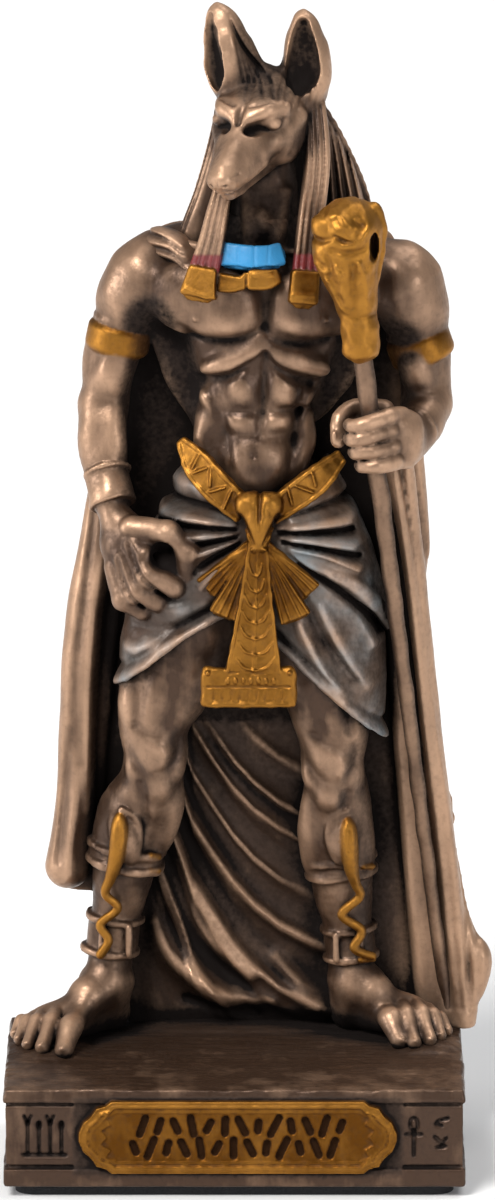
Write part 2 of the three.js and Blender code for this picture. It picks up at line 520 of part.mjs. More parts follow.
// Sash: two straps from the hips to a knot, fanned ends, a long apron and its end plate
function carveSash(gold) {
  const [, , knotHeight] = knot;
  strap(gold, [[0.6, -5.7, 52.9, 1.4, 0.5], [-1.8, -5.0, 55.1, 1.4, 0.5], [-3.7, -3.6, 57.0, 1.2, 0.5],
    [-5.0, -2.0, 58.2, 0.6, 0.4]], [-0.3, -1, 0.1], 0.1, 0.2);
  strap(gold, [[3.8, -5.7, 52.8, 1.1, 0.5], [6.2, -5.0, 54.6, 1.1, 0.5], [8.4, -3.6, 56.0, 1.1, 0.5],
    [10.2, -1.6, 56.8, 0.8, 0.45]], [0.3, -1, 0.1], 0.1, 0.2);
  strap(gold, [[2.3, -6.2, knotHeight + 2.5, 2.3, 0.9], [...knot, 1.8, 1.1],
    [2.2, -6.6, knotHeight - 2.6, 0.5, 0.7]], forwards, 0.2, 0.6);
  blob(gold, [0.9, -6.6, knotHeight + 1.2], [1.2, 1.0, 1.9], 0.3);
  blob(gold, [3.7, -6.6, knotHeight + 1.2], [1.2, 1.0, 1.9], 0.3);
  const fans = [[1.6, -1.9, 44.6, 1.2, -6.6], [1.8, -0.9, 42.6, 1.1, -6.8], [2.8, 6.9, 44.2, 1.2, -6.7],
    [2.7, 5.8, 42.2, 1.4, -6.9]];
  for (const [xTop, xEnd, zEnd, half, yEnd] of fans) {
    strap(gold, [[xTop, -6.7, 49.8, 0.35, 0.5], [xEnd, yEnd, zEnd, half, 0.6]], forwards, 0.06, 0.2);
  }
  const apronTop = [2.2, -6.7, 50.0];
  const apronFoot = [1.8, -7.4, 37.6];
  strap(gold, [[...apronTop, 0.9, 0.55], [...mix(apronTop, apronFoot, 0.5), 1.7, 0.55],
    [...apronFoot, 2.6, 0.55]], forwards, 0.08, 0.2);
  strap(gold, [[-2.9, -7.4, 36.2, 1.95, 0.65], [6.0, -7.4, 36.2, 1.95, 0.65]], forwards, 0.08, 0.25);
  const leafPitch = 1.9;
  for (const side of [-1, 1]) {
    for (let i = 0; i < 5; i += 1) {
      const z = 46.4 - leafPitch * i;
      fold(gold, [[1.95, z, 0.24, -0.3], [1.9 + side * (0.9 + 0.2 * i), z + 0.9, 0.24, -0.3]], -10, 0);
    }
  }
  const flutePitch = 1.3;
  for (let i = -3; i <= 3; i += 1) {
    fold(gold, [[1.55 + flutePitch * i, 37.2, 0.24, -0.3], [1.55 + flutePitch * i, 35.2, 0.24, -0.3]],
      -10, 0);
  }
}

// Cape: a slab behind the body with a waved back, rolled side lobes, and swags hanging
// between the legs; beside the staff it falls in long pleats
function carveCape(cape) {
  const leftEdge = [[0, 6, 14, 24, 32, 42, 52, 62, 70, 77, 80],
    [-9.5, -11, -17.2, -16.6, -16.3, -15.0, -13.4, -12.4, -10.5, -8.5, -4.5]];
  const rightEdge = [[0, 6, 10, 16, 20, 26, 32, 40, 46, 52, 58, 66, 74, 77, 80],
    [22.0, 24.2, 22.0, 20.4, 20.9, 19.4, 18.6, 17.5, 18.5, 18.0, 17.0, 17.0, 16.5, 15.0, 12.5]];
  const backFace = [[0, 20, 50, 70, 80], [6.1, 6.2, 6.2, 5.8, 5.2]];
  const frontFace = [[0, 20, 34, 45, 60, 80], [3.0, 2.8, 2.6, 2.8, 3.2, 3.4]];
  const hemLine = [[-20, -15, -10, -6, 8], [13.6, 13.4, 8, 2.0, -3]];
  const topEdge = 78.5;
  const roundEdge = 1.6;
  const waveDepth = 0.5;
  cape.shape(carveLow, carveHigh, (value, x, y, z) => {
    const left = between(z, ...leftEdge);
    const right = between(z, ...rightEdge);
    const back = between(z, ...backFace);
    const front = between(z, ...frontFace);
    const fade = clamp((80 - z) / 40, 0, 1) * easeStep((y - 3) / 2);
    const wave = waveDepth * fade * Math.sin(((x - 2) * 1.15) / (1 + 0.012 * (80 - z)));
    const across = Math.abs(x - (left + right) / 2) - ((right - left) / 2 - roundEdge);
    const through = Math.abs(y - (back + front + wave) / 2) - ((back - front + wave) / 2 - roundEdge);
    const up = z - (topEdge - roundEdge);
    const away = Math.hypot(Math.max(across, 0), Math.max(through, 0), Math.max(up, 0));
    const slab = away + Math.min(Math.max(across, through, up), 0) - roundEdge;
    return Math.max(slab, between(x, ...hemLine) - z);
  });
  // rolled left side
  limb(cape, [[-11.8, 2.4, 58, 1.2], [-12.6, 2.2, 50, 1.7], [-14.2, 1.8, 40, 1.9], [-14.9, 1.6, 30, 1.8],
    [-15.2, 1.6, 22, 1.9], [-15.9, 1.6, 16.2, 2.2]], 0.8);
  limb(cape, [[-11.0, 3.0, 46, 0.8], [-12.2, 2.6, 36, 0.9], [-13.0, 2.8, 26, 0.8], [-13.6, 3.0, 17, 0.8]],
    0.8);
  // swags between the legs
  const swags = [
    [[-6.5, 3.0, 27, 0.8], [-3.2, 2.4, 19.5, 1.2], [0.2, 2.0, 13.2, 1.3], [4.6, 2.2, 8.6, 0.9]],
    [[-6.6, 2.6, 20, 1.0], [-4.2, 1.6, 13.6, 1.5], [-0.8, 1.2, 8.6, 1.7], [4.4, 1.6, 4.8, 1.3]],
    [[-7.6, 2.6, 11, 1.0], [-4.8, 1.8, 6.8, 1.4], [0.4, 1.6, 3.4, 1.6], [4.4, 2.0, 1.6, 1.4]],
    [[-3.5, 3.0, 30, 0.8], [1.0, 2.7, 25.0, 1.0], [6.2, 2.8, 20.5, 0.9]],
    [[-1.5, 2.8, 31.5, 0.8], [2.5, 2.6, 28, 1.0], [6.0, 2.7, 25.5, 0.9]],
  ];
  for (const swag of swags) {
    limb(cape, swag, 1.2);
  }
  // long pleats by the staff, and the outer edge that turns out at the foot
  const pleats = [
    [[14.8, -3.2, 56, 0.8], [16.6, -1.4, 45, 0.9], [18.4, 0.4, 30, 0.9], [20.6, 1.8, 15, 1.0],
      [22.0, 2.8, 0.5, 1.0]],
    [[16.0, -2.4, 57, 1.0], [17.2, -0.4, 46, 1.1], [18.6, 1.4, 32, 1.0], [20.4, 2.6, 16, 1.1],
      [22.6, 3.4, 6, 1.2]],
    [[16.6, 0.8, 58, 1.3], [17.2, 1.4, 48, 1.4], [17.0, 1.8, 40, 1.1], [18.2, 2.4, 28, 1.1],
      [19.5, 2.8, 18, 1.1]],
    [[19.6, 3.0, 22, 1.2], [19.3, 3.0, 16, 1.0], [21.6, 3.0, 9, 1.4], [23.2, 3.0, 6.2, 1.5],
      [21.8, 2.8, 0.6, 1.1]],
  ];
  for (const pleat of pleats) {
    limb(cape, pleat, 0.5);
  }
  strap(cape, [[14.2, 1.0, 57, 2.0, 1.6], [15.8, 1.4, 45, 2.0, 1.5], [17.2, 2.2, 30, 2.2, 1.4],
    [18.8, 2.8, 15, 2.6, 1.4], [20.2, 3.2, 0, 2.6, 1.2]], forwards, 0.8, 0.8);
  // gathers on the left shoulder
  for (let i = 0; i < 4; i += 1) {
    limb(cape, [[-8.8 + 1.5 * i, 0.6 - 0.5 * i, 78 + 0.5 * i, 0.7],
      [-5.6 + 0.9 * i, -1.8 - 0.3 * i, 76.4 + 0.9 * i, 0.7]], 0.25);
  }
  limb(cape, [[-5.6, -2.0, 77.4, 0.8], [-4.8, -3.2, 75.6, 0.8], [-3.8, -3.9, 74.0, 0.7]], 0.4);
}

// Staff: a slanting shaft with a gilt animal head, its snout to the left and a loop behind
function carveStaff(skin, gold) {
  limb(skin, [[...staffTop, 0.9], [...staffFoot, 0.8]], 0.3);
  limb(gold, [[11.8, -8.3, 68.0, 1.5], [11.4, -8.4, 72.5, 1.85], [10.9, -8.5, 76.0, 2.2],
    [10.7, -8.6, 79.6, 2.7], [11.2, -8.5, 81.0, 2.5]], 0.4);
  limb(gold, [[10.4, -8.9, 79.8, 2.2], [8.9, -9.4, 77.8, 1.3], [8.5, -9.4, 76.0, 0.95]], 0.4);
  limb(gold, [[12.9, -8.7, 81.2, 1.2], [14.3, -8.7, 79.4, 0.8], [14.1, -8.7, 76.8, 0.75],
    [13.0, -8.6, 74.4, 0.8]], 0.2);
  roundBlock(gold, [11.83, -8.3, 68.0], [1.6, 1.6, 0.6], 0.25, 0.1);
  fold(gold, [[9.4, 79.2, 0.35, -0.35], [10.6, 78.2, 0.4, -0.5], [12.0, 79.0, 0.35, -0.35]], -13, -8);
}

function carveBands(skin, gold) {
  const bracelets = [
    [[-12.0, -0.4, 55.0], [0.25, -0.6, -1], 2.45, 0.4],
    [[-11.5, -1.6, 52.4], [0.25, -0.6, -1], 2.2, 0.4],
    [[-10.3, 0.5, 17.4], [0.14, -0.05, 1], 3.85, 0.5],
    [[-10.5, 0.6, 15.8], [0.14, -0.05, 1], 3.6, 0.45],
    [[-11.5, 0.9, 10.6], [0.1, 0, 1], 2.75, 0.45],
    [[-11.9, 1.0, 7.6], [0.1, 0, 1], 2.75, 0.45],
    [[10.1, 0.9, 16.0], [-0.1, 0.02, 1], 3.5, 0.5],
    [[10.2, 1.0, 14.6], [-0.1, 0.02, 1], 3.35, 0.45],
    [[10.9, 1.3, 9.2], [-0.1, 0, 1], 2.75, 0.45],
    [[11.1, 1.4, 6.8], [-0.1, 0, 1], 2.75, 0.45],
  ];
  for (const [centre, axis, radius, half] of bracelets) {
    band(skin, centre, axis, radius, half, 0.3);
  }
  const armbandHalf = 1.3;
  band(gold, [-11.0, 1.4, 67.8], [0.25, -0.05, 1], 2.85, armbandHalf, 0.5);
  band(gold, [17.6, 1.4, 67.0], [-0.3, -0.05, 1], 2.95, armbandHalf, 0.5);
}

// Rearing snake down the front of each shin
function carveSnakes(gold) {
  limb(gold, [[-10.9, -2.9, 21.4, 0.7], [-11.0, -3.3, 20.0, 0.95], [-11.5, -3.4, 17.6, 0.65],
    [-12.1, -2.9, 14.2, 0.55], [-11.2, -2.3, 12.6, 0.5], [-12.6, -2.0, 10.6, 0.5],
    [-11.9, -2.0, 8.4, 0.5]], 0.1);
  limb(gold, [[9.9, -2.6, 20.4, 0.7], [9.9, -3.0, 19.0, 0.95], [10.4, -2.9, 15.6, 0.6],
    [11.4, -2.2, 13.2, 0.5], [9.9, -1.8, 11.2, 0.5], [11.8, -1.4, 9.6, 0.5], [11.4, -1.6, 7.2, 0.5]], 0.1);
}

function carveFigure() {
  const skin = new Layer();
  const cloth = new Layer();
  const gold = new Layer();
  const cape = new Layer();
  carveTorso(skin);
  carveArms(skin);
  carveOpenHand(skin);
  carveFist(skin);
  for (const leg of [leftLeg, rightLeg]) {
    carveLeg(skin, leg);
    carveFoot(skin, leg);
  }
  carveHead(skin);
  carveEars(skin);
  const wig = new Layer();
  carveHeadcloth(wig);
  carveKilt(cloth);
  carveCape(cape);
  carveSash(gold);
  carveCollar(gold, gold);
  carveStaff(skin, gold);
  carveBands(skin, gold);
  carveSnakes(gold);
  const whole = skin.values;
  const seam = 0.35;
  for (const { values } of [wig, cloth, gold, cape]) {
    for (let i = 0; i < whole.length; i += 1) {
      whole[i] = softJoin(whole[i], values[i], seam);
    }
  }
  const soleDepth = 1;
  skin.shape(carveLow, carveHigh, (value, x, y, z) => Math.max(value, -soleDepth - z));
  return skin;
}

// Makes the casting one solid: hollows that no path joins to the open air are filled, and
// crumbs that no path joins to the trunk are dropped
function makeWhole(layer) {
  const [nx, ny, nz] = layer.count;
  const { values } = layer;
  const ways = [1, 2, 3, 4, 5, 6, 7].flatMap((bits) => {
    const way = [bits & 1, (bits >> 1) & 1, bits >> 2];
    return [way, times(way, -1)];
  });
  const joinedTo = (start, side) => {
    const reached = new Uint8Array(values.length);
    const stack = [start];
    reached[(start[0] * ny + start[1]) * nz + start[2]] = 1;
    while (stack.length > 0) {
      const [i, j, k] = stack.pop();
      for (const [di, dj, dk] of ways) {
        const [a, b, c] = [i + di, j + dj, k + dk];
        if (a < 0 || b < 0 || c < 0 || a >= nx || b >= ny || c >= nz) continue;
        const at = (a * ny + b) * nz + c;
        if (reached[at] === 0 && values[at] * side > 0) {
          reached[at] = 1;
          stack.push([a, b, c]);
        }
      }
    }
    return reached;
  };
  const cellOf = (place) => place.map((v, i) => Math.round((v - carveLow[i]) / carvingPitch));
  const air = joinedTo([0, 0, nz - 1], 1);
  const trunk = joinedTo(cellOf(neckRoot), -1);
  const justOver = 0.05;
  for (let at = 0; at < values.length; at += 1) {
    if (values[at] > 0 && air[at] === 0) values[at] = -justOver;
    else if (values[at] < 0 && trunk[at] === 0) values[at] = justOver;
  }
}

// Surface where the distance is nought, closed by splitting every cell into six tetrahedra
function surfaceOf(layer) {
  const [nx, ny, nz] = layer.count;
  const { values } = layer;
  const tiny = 1e-3;
  for (let i = 0; i < values.length; i += 1) {
    if (Math.abs(values[i]) < tiny) values[i] = tiny;
  }
  makeWhole(layer);
  const strides = [ny * nz, nz, 1];
  const corner = (bits) => (bits & 1) * strides[0] + ((bits >> 1) & 1) * strides[1]
    + ((bits >> 2) & 1) * strides[2];
  const orders = [[0, 1, 2], [1, 2, 0], [2, 0, 1], [0, 2, 1], [2, 1, 0], [1, 0, 2]];
  const tetrahedra = orders.map(([a, b], n) => {
    const set = [0, 1 << a, (1 << a) | (1 << b), 7];
    return n < 3 ? set : [set[0], set[2], set[1], set[3]];
  });
  const points = [];
  const triangles = [];
  const edgePoints = new Map();
  const edgePoint = (base, from, to) => {
    const [lowBits, highBits] = (from & to) === from ? [from, to] : [to, from];
    const start = base + corner(lowBits);
    const key = start * 8 + (highBits - lowBits);
    let at = edgePoints.get(key);
    if (at === undefined) {
      const end = base + corner(highBits);
      const t = clamp(values[start] / (values[start] - values[end]), 0.04, 0.96);
      const bits = highBits - lowBits;
      const cell = [Math.floor(start / strides[0]), Math.floor(start / nz) % ny, start % nz];
      at = points.length / 3;
      for (let c = 0; c < 3; c += 1) {
        points.push(carveLow[c] + carvingPitch * (cell[c] + t * ((bits >> c) & 1)));
      }
      edgePoints.set(key, at);
    }
    return at;
  };
  for (let i = 0; i < nx - 1; i += 1) {
    for (let j = 0; j < ny - 1; j += 1) {
      for (let k = 0; k < nz - 1; k += 1) {
        const base = (i * ny + j) * nz + k;
        let inside = 0;
        for (let bits = 0; bits < 8; bits += 1) {
          if (values[base + corner(bits)] < 0) inside += 1;
        }
        if (inside === 0 || inside === 8) continue;
        for (const set of tetrahedra) {
          const within = [0, 1, 2, 3].filter((n) => values[base + corner(set[n])] < 0);
          const without = [0, 1, 2, 3].filter((n) => !within.includes(n));
          if (within.length === 0 || without.length === 0) continue;
          const cut = (from, to) => edgePoint(base, set[from], set[to]);
          const order = [...within, ...without];
          let ring;
          if (within.length === 1) ring = without.map((to) => cut(within[0], to));
          else if (without.length === 1) ring = within.map((from) => cut(from, without[0]));
          else {
            ring = [cut(within[0], without[0]), cut(within[0], without[1]),
              cut(within[1], without[1]), cut(within[1], without[0])];
          }
          // an odd order of the four corners turns the face round
          let swaps = 0;
          order.forEach((n, at) => order.slice(at + 1).forEach((m) => { if (n > m) swaps += 1; }));
          if (swaps % 2 === 1) ring.reverse();
          triangles.push(ring[0], ring[1], ring[2]);
          if (ring.length === 4) triangles.push(ring[0], ring[2], ring[3]);
        }
      }
    }
  }
  return { points, triangles };
}

// Evens out the facets: each point moves towards its neighbours and back onto the surface
function settled(layer, { points, triangles }) {
  const [, ny, nz] = layer.count;
  const { values } = layer;
  const valueAt = (x, y, z) => {
    const u = (x - carveLow[0]) / carvingPitch;
    const v = (y - carveLow[1]) / carvingPitch;
    const w = (z - carveLow[2]) / carvingPitch;
    const [i, j, k] = [Math.floor(u), Math.floor(v), Math.floor(w)];
    const at = (i * ny + j) * nz + k;
    const alongZ = (n) => values[n] + (values[n + 1] - values[n]) * (w - k);
    const alongY = (n) => alongZ(n) + (alongZ(n + nz) - alongZ(n)) * (v - j);
    return alongY(at) + (alongY(at + ny * nz) - alongY(at)) * (u - i);
  };
  const rounds = 4;
  const share = 0.6;
  const reachOut = carvingPitch / 2;
  const longestStep = carvingPitch * 0.3;
  const places = Float64Array.from(points);
  for (let round = 0; round < rounds; round += 1) {
    const sums = new Float64Array(places.length);
    const counts = new Uint16Array(places.length / 3);
    for (let t = 0; t < triangles.length; t += 3) {
      for (let c = 0; c < 3; c += 1) {
        const n = triangles[t + c];
        const a = triangles[t + ((c + 1) % 3)];
        const b = triangles[t + ((c + 2) % 3)];
        for (let axis = 0; axis < 3; axis += 1) {
          sums[3 * n + axis] += places[3 * a + axis] + places[3 * b + axis];
        }
        counts[n] += 2;
      }
    }
    for (let n = 0; n < counts.length; n += 1) {
      const p = [0, 1, 2].map((axis) => {
        const here = places[3 * n + axis];
        return here + share * (sums[3 * n + axis] / counts[n] - here);
      });
      for (let pull = 0; pull < 2; pull += 1) {
        const slope = [0, 1, 2].map((axis) => {
          const [ahead, behind] = [[...p], [...p]];
          ahead[axis] += reachOut;
          behind[axis] -= reachOut;
          return (valueAt(...ahead) - valueAt(...behind)) / carvingPitch;
        });
        const steep = Math.max(dot(slope, slope), 0.05);
        const step = valueAt(...p) / steep;
        const size = Math.abs(step) * Math.sqrt(steep);
        const kept = size > longestStep ? longestStep / size : 1;
        for (let axis = 0; axis < 3; axis += 1) p[axis] -= slope[axis] * step * kept;
      }
      for (let axis = 0; axis < 3; axis += 1) places[3 * n + axis] = p[axis];
    }
  }
  return { points: Array.from(places), triangles };
}

// How much a place matters when facets are saved: face and hands most, plain back least
function worth([x, y, z]) {
  const away = (a) => Math.hypot(x - a[0], y - a[1], z - a[2]);
  if (away([0.5, -3, 87.5]) < 8) return 5;
  if (away([-8, -5, 46]) < 6 || away([13.5, -7, 59]) < 6) return 3;
  if (y < -2 || z < 3.5) return 2;
  return y > 4.5 ? 0.4 : 1;
}

// Fewer facets by closing the edge that changes the shape least, again and again
function simplified({ points, triangles }, wanted) {
  const count = points.length / 3;
  const place = [];
  for (let i = 0; i < count; i += 1) place.push(points.slice(3 * i, 3 * i + 3));
  const faces = [];
  const facesAt = place.map(() => new Set());
  const quadrics = place.map(() => new Float64Array(10));
  const faceNormal = (a, b, c) => cross(minus(b, a), minus(c, a));
  for (let t = 0; t < triangles.length; t += 3) {
    const face = [triangles[t], triangles[t + 1], triangles[t + 2]];
    const [a, b, c] = face.map((n) => place[n]);
    const normal = faceNormal(a, b, c);
    const size = Math.hypot(...normal);
    const [nx, ny, nz] = size > 1e-12 ? times(normal, 1 / size) : [0, 0, 0];
    const d = -(nx * a[0] + ny * a[1] + nz * a[2]);
    const terms = [nx * nx, nx * ny, nx * nz, nx * d, ny * ny, ny * nz, ny * d, nz * nz, nz * d, d * d];
    face.forEach((n) => {
      facesAt[n].add(faces.length);
      const weight = size * worth(place[n]);
      terms.forEach((term, i) => { quadrics[n][i] += term * weight; });
    });
    faces.push(face);
  }
  const errorAt = (q, [x, y, z]) => q[0] * x * x + q[4] * y * y + q[7] * z * z + q[9]
    + 2 * (q[1] * x * y + q[2] * x * z + q[5] * y * z + q[3] * x + q[6] * y + q[8] * z);
  const bestPlace = (q, a, b) => {
    const middle = mix(a, b, 0.5);
    const [m0, m1, m2] = [[q[0], q[1], q[2]], [q[1], q[4], q[5]], [q[2], q[5], q[7]]];
    const minors = [cross(m1, m2), cross(m2, m0), cross(m0, m1)];
    const size = dot(m0, minors[0]);
    const options = [a, b, middle];
    if (Math.abs(size) > 1e-4 * (q[0] + q[4] + q[7]) ** 3) {
      const right = [-q[3], -q[6], -q[8]];
      const solved = times([0, 1, 2].map((i) =>
        minors[0][i] * right[0] + minors[1][i] * right[1] + minors[2][i] * right[2]), 1 / size);
      if (Math.hypot(...minus(solved, middle)) < 2 * Math.hypot(...minus(b, a))) options.push(solved);
    }
    return options.reduce((best, p) => (errorAt(q, p) < errorAt(q, best) ? p : best), middle);
  };
  // heap of edges, cheapest on top; an entry is stale once one of its ends has changed
  const version = new Int32Array(count);
  const heap = [];
  const swap = (i, j) => { [heap[i], heap[j]] = [heap[j], heap[i]]; };
  const push = (entry) => {
    heap.push(entry);
    let i = heap.length - 1;
    while (i > 0 && heap[(i - 1) >> 1].cost > heap[i].cost) {
      swap(i, (i - 1) >> 1);
      i = (i - 1) >> 1;
    }
  };
  const pop = () => {
    const top = heap[0];
    const last = heap.pop();
    if (heap.length > 0) {
      heap[0] = last;
      let i = 0;
      for (;;) {
        let least = i;
        if (2 * i + 1 < heap.length && heap[2 * i + 1].cost < heap[least].cost) least = 2 * i + 1;
        if (2 * i + 2 < heap.length && heap[2 * i + 2].cost < heap[least].cost) least = 2 * i + 2;
        if (least === i) break;
        swap(i, least);
        i = least;
      }
    }
    return top;
  };
  const offer = (u, v) => {
    const q = quadrics[u].map((term, i) => term + quadrics[v][i]);
    const target = bestPlace(q, place[u], place[v]);
    const length = Math.hypot(...minus(place[u], place[v]));
    const cost = Math.max(errorAt(q, target), 0) + 1e-5 * length * length;
    push({ cost, u, v, target, stamp: version[u] + version[v] });
  };
  const neighbours = (n) => {
    const found = new Set();
    for (const f of facesAt[n]) faces[f].forEach((m) => found.add(m));
    found.delete(n);
    return found;
  };
  // a closed surface stays closed, and no face turns over or becomes a worse sliver
  const leastTurn = 0.3;
  const sliver = 0.08;
  const shapeOf = (corners) => {
    const normal = faceNormal(...corners);
    const size = Math.hypot(...normal);
    const longest = Math.max(...corners.map((p, i) => Math.hypot(...minus(p, corners[(i + 1) % 3]))));
    return { normal, size, quality: size / (longest * longest + 1e-12) };
  };
  const allowed = (u, v, target) => {
    const around = neighbours(v);
    const shared = [...neighbours(u)].filter((n) => around.has(n));
    if (shared.length !== 2) return false;
    for (const [moved, other] of [[u, v], [v, u]]) {
      for (const f of facesAt[moved]) {
        if (faces[f].includes(other)) continue;
        const before = shapeOf(faces[f].map((n) => place[n]));
        const after = shapeOf(faces[f].map((n) => (n === moved ? target : place[n])));
        if (after.quality < sliver && after.quality < before.quality) return false;
        const turn = dot(before.normal, after.normal);
        if (turn < leastTurn * before.size * after.size) return false;
      }
    }
    return true;
  };
  for (let n = 0; n < count; n += 1) {
    for (const m of neighbours(n)) if (m > n) offer(n, m);
  }
  let left = faces.length;
  while (left > wanted && heap.length > 0) {
    const { u, v, target, stamp } = pop();
    const live = facesAt[u].size > 0 && facesAt[v].size > 0 && stamp === version[u] + version[v];
    if (live && allowed(u, v, target)) {
      for (const f of [...facesAt[v]]) {
        if (faces[f].includes(u)) {
          faces[f].forEach((n) => facesAt[n].delete(f));
          left -= 1;
        } else {
          faces[f] = faces[f].map((n) => (n === v ? u : n));
          facesAt[u].add(f);
        }
      }
      facesAt[v].clear();
      place[u] = target;
      quadrics[u] = quadrics[u].map((term, i) => term + quadrics[v][i]);
      version[u] += 1;
      version[v] += 1;
      for (const n of neighbours(u)) {
        version[n] += 1;
      }
      for (const n of neighbours(u)) {
        offer(u, n);
        for (const m of neighbours(n)) if (m !== u) offer(n, m);
      }
    }
  }
  const kept = new Map();
  const finalPoints = [];
  const finalTriangles = [];
  faces.forEach((face, f) => {
    if (!facesAt[face[0]].has(f)) return;
    face.forEach((n) => {
      if (!kept.has(n)) {
        kept.set(n, kept.size);
        finalPoints.push(...place[n]);
      }
      finalTriangles.push(kept.get(n));
    });
  });
  return { points: finalPoints, triangles: finalTriangles };
}

function solidFrom(points, triangles) {
  return new wasm.Manifold(new wasm.Mesh({
    numProp: 3,
    vertProperties: Float32Array.from(points),
    triVerts: Uint32Array.from(triangles),
  }));
}

function solidOf(geometry) {
  geometry.deleteAttribute('normal');
  geometry.deleteAttribute('uv');
  const merged = mergeVertices(geometry, 1e-4);
  return solidFrom(merged.attributes.position.array, merged.index.array);
}

function meshOf(name, solid, colour, roughness, metalness) {
  const data = solid.getMesh();
  const geometry = new THREE.BufferGeometry();
  geometry.setAttribute('position', new THREE.BufferAttribute(data.vertProperties, 3));
  geometry.setIndex(new THREE.BufferAttribute(data.triVerts, 1));
  geometry.computeVertexNormals();
  const mesh = new THREE.Mesh(geometry, new THREE.MeshStandardMaterial({ color: colour, roughness, metalness }));
  mesh.name = name;
  return mesh;
}

const box = (width, depth, height, x, y, z) =>
  solidOf(new THREE.BoxGeometry(width, depth, height).translate(x, y, z));

function buildFigure() {
  const layer = carveFigure();
  const carved = simplified(settled(layer, surfaceOf(layer)), figureFacets);
  const points = carved.points.map((v, i) =>
    v * hundredth + [0, figureSetBack, plinthTop][i % 3]);
  const reachAll = 3 * figureHeight;
  const below = box(reachAll, reachAll, figureHeight, 0, 0, plinthTop - figureHeight / 2);
  return solidFrom(points, carved.triangles).subtract(below);
}

// Upright slab with rounded corners, from one height to another
function slab(width, depth, corner, bottom, top) {
  const shape = new THREE.Shape();
  const [x, y] = [width / 2, depth / 2];
  shape.moveTo(-x + corner, -y);
  shape.lineTo(x - corner, -y);
  shape.absarc(x - corner, -y + corner, corner, -Math.PI / 2, 0);
  shape.lineTo(x, y - corner);
  shape.absarc(x - corner, y - corner, corner, 0, Math.PI / 2);
  shape.lineTo(-x + corner, y);
  shape.absarc(-x + corner, y - corner, corner, Math.PI / 2, Math.PI);
  shape.lineTo(-x, -y + corner);
  shape.absarc(-x + corner, -y + corner, corner, Math.PI, 1.5 * Math.PI);
  const steps = 4;
  const geometry = new THREE.ExtrudeGeometry(shape, {
    depth: top - bottom, bevelEnabled: false, curveSegments: steps,
  });
  return solidOf(geometry.translate(0, 0, bottom));
}

// Plate standing upright on the plinth's front, from its back to its face along -Y
function frontPlate(outline, x, z, backY, faceY) {
  const shape = new THREE.Shape(outline.map(([px, pz]) => new THREE.Vector2(px, pz)));
  const geometry = new THREE.ExtrudeGeometry(shape, { depth: backY - faceY, bevelEnabled: false });
  geometry.rotateX(Math.PI / 2);
  return solidOf(geometry.translate(x, backY, z));
}

// Long plaque outline with a stepped shoulder and a blunt point at each end
function plaqueOutline(width, height) {
  const [x, z] = [width / 2, height / 2];
  const shoulder = height * 0.3;
  const point = height * 0.22;
  const quarter = [[x, point * 0.55], [x - shoulder * 0.35, point * 1.1],
    [x - shoulder * 0.75, z * 0.78], [x - shoulder * 1.3, z]];
  const right = [...quarter.map(([a, b]) => [a, -b]).reverse(), ...quarter];
  return [...right, ...right.map(([a, b]) => [-a, -b])];
}

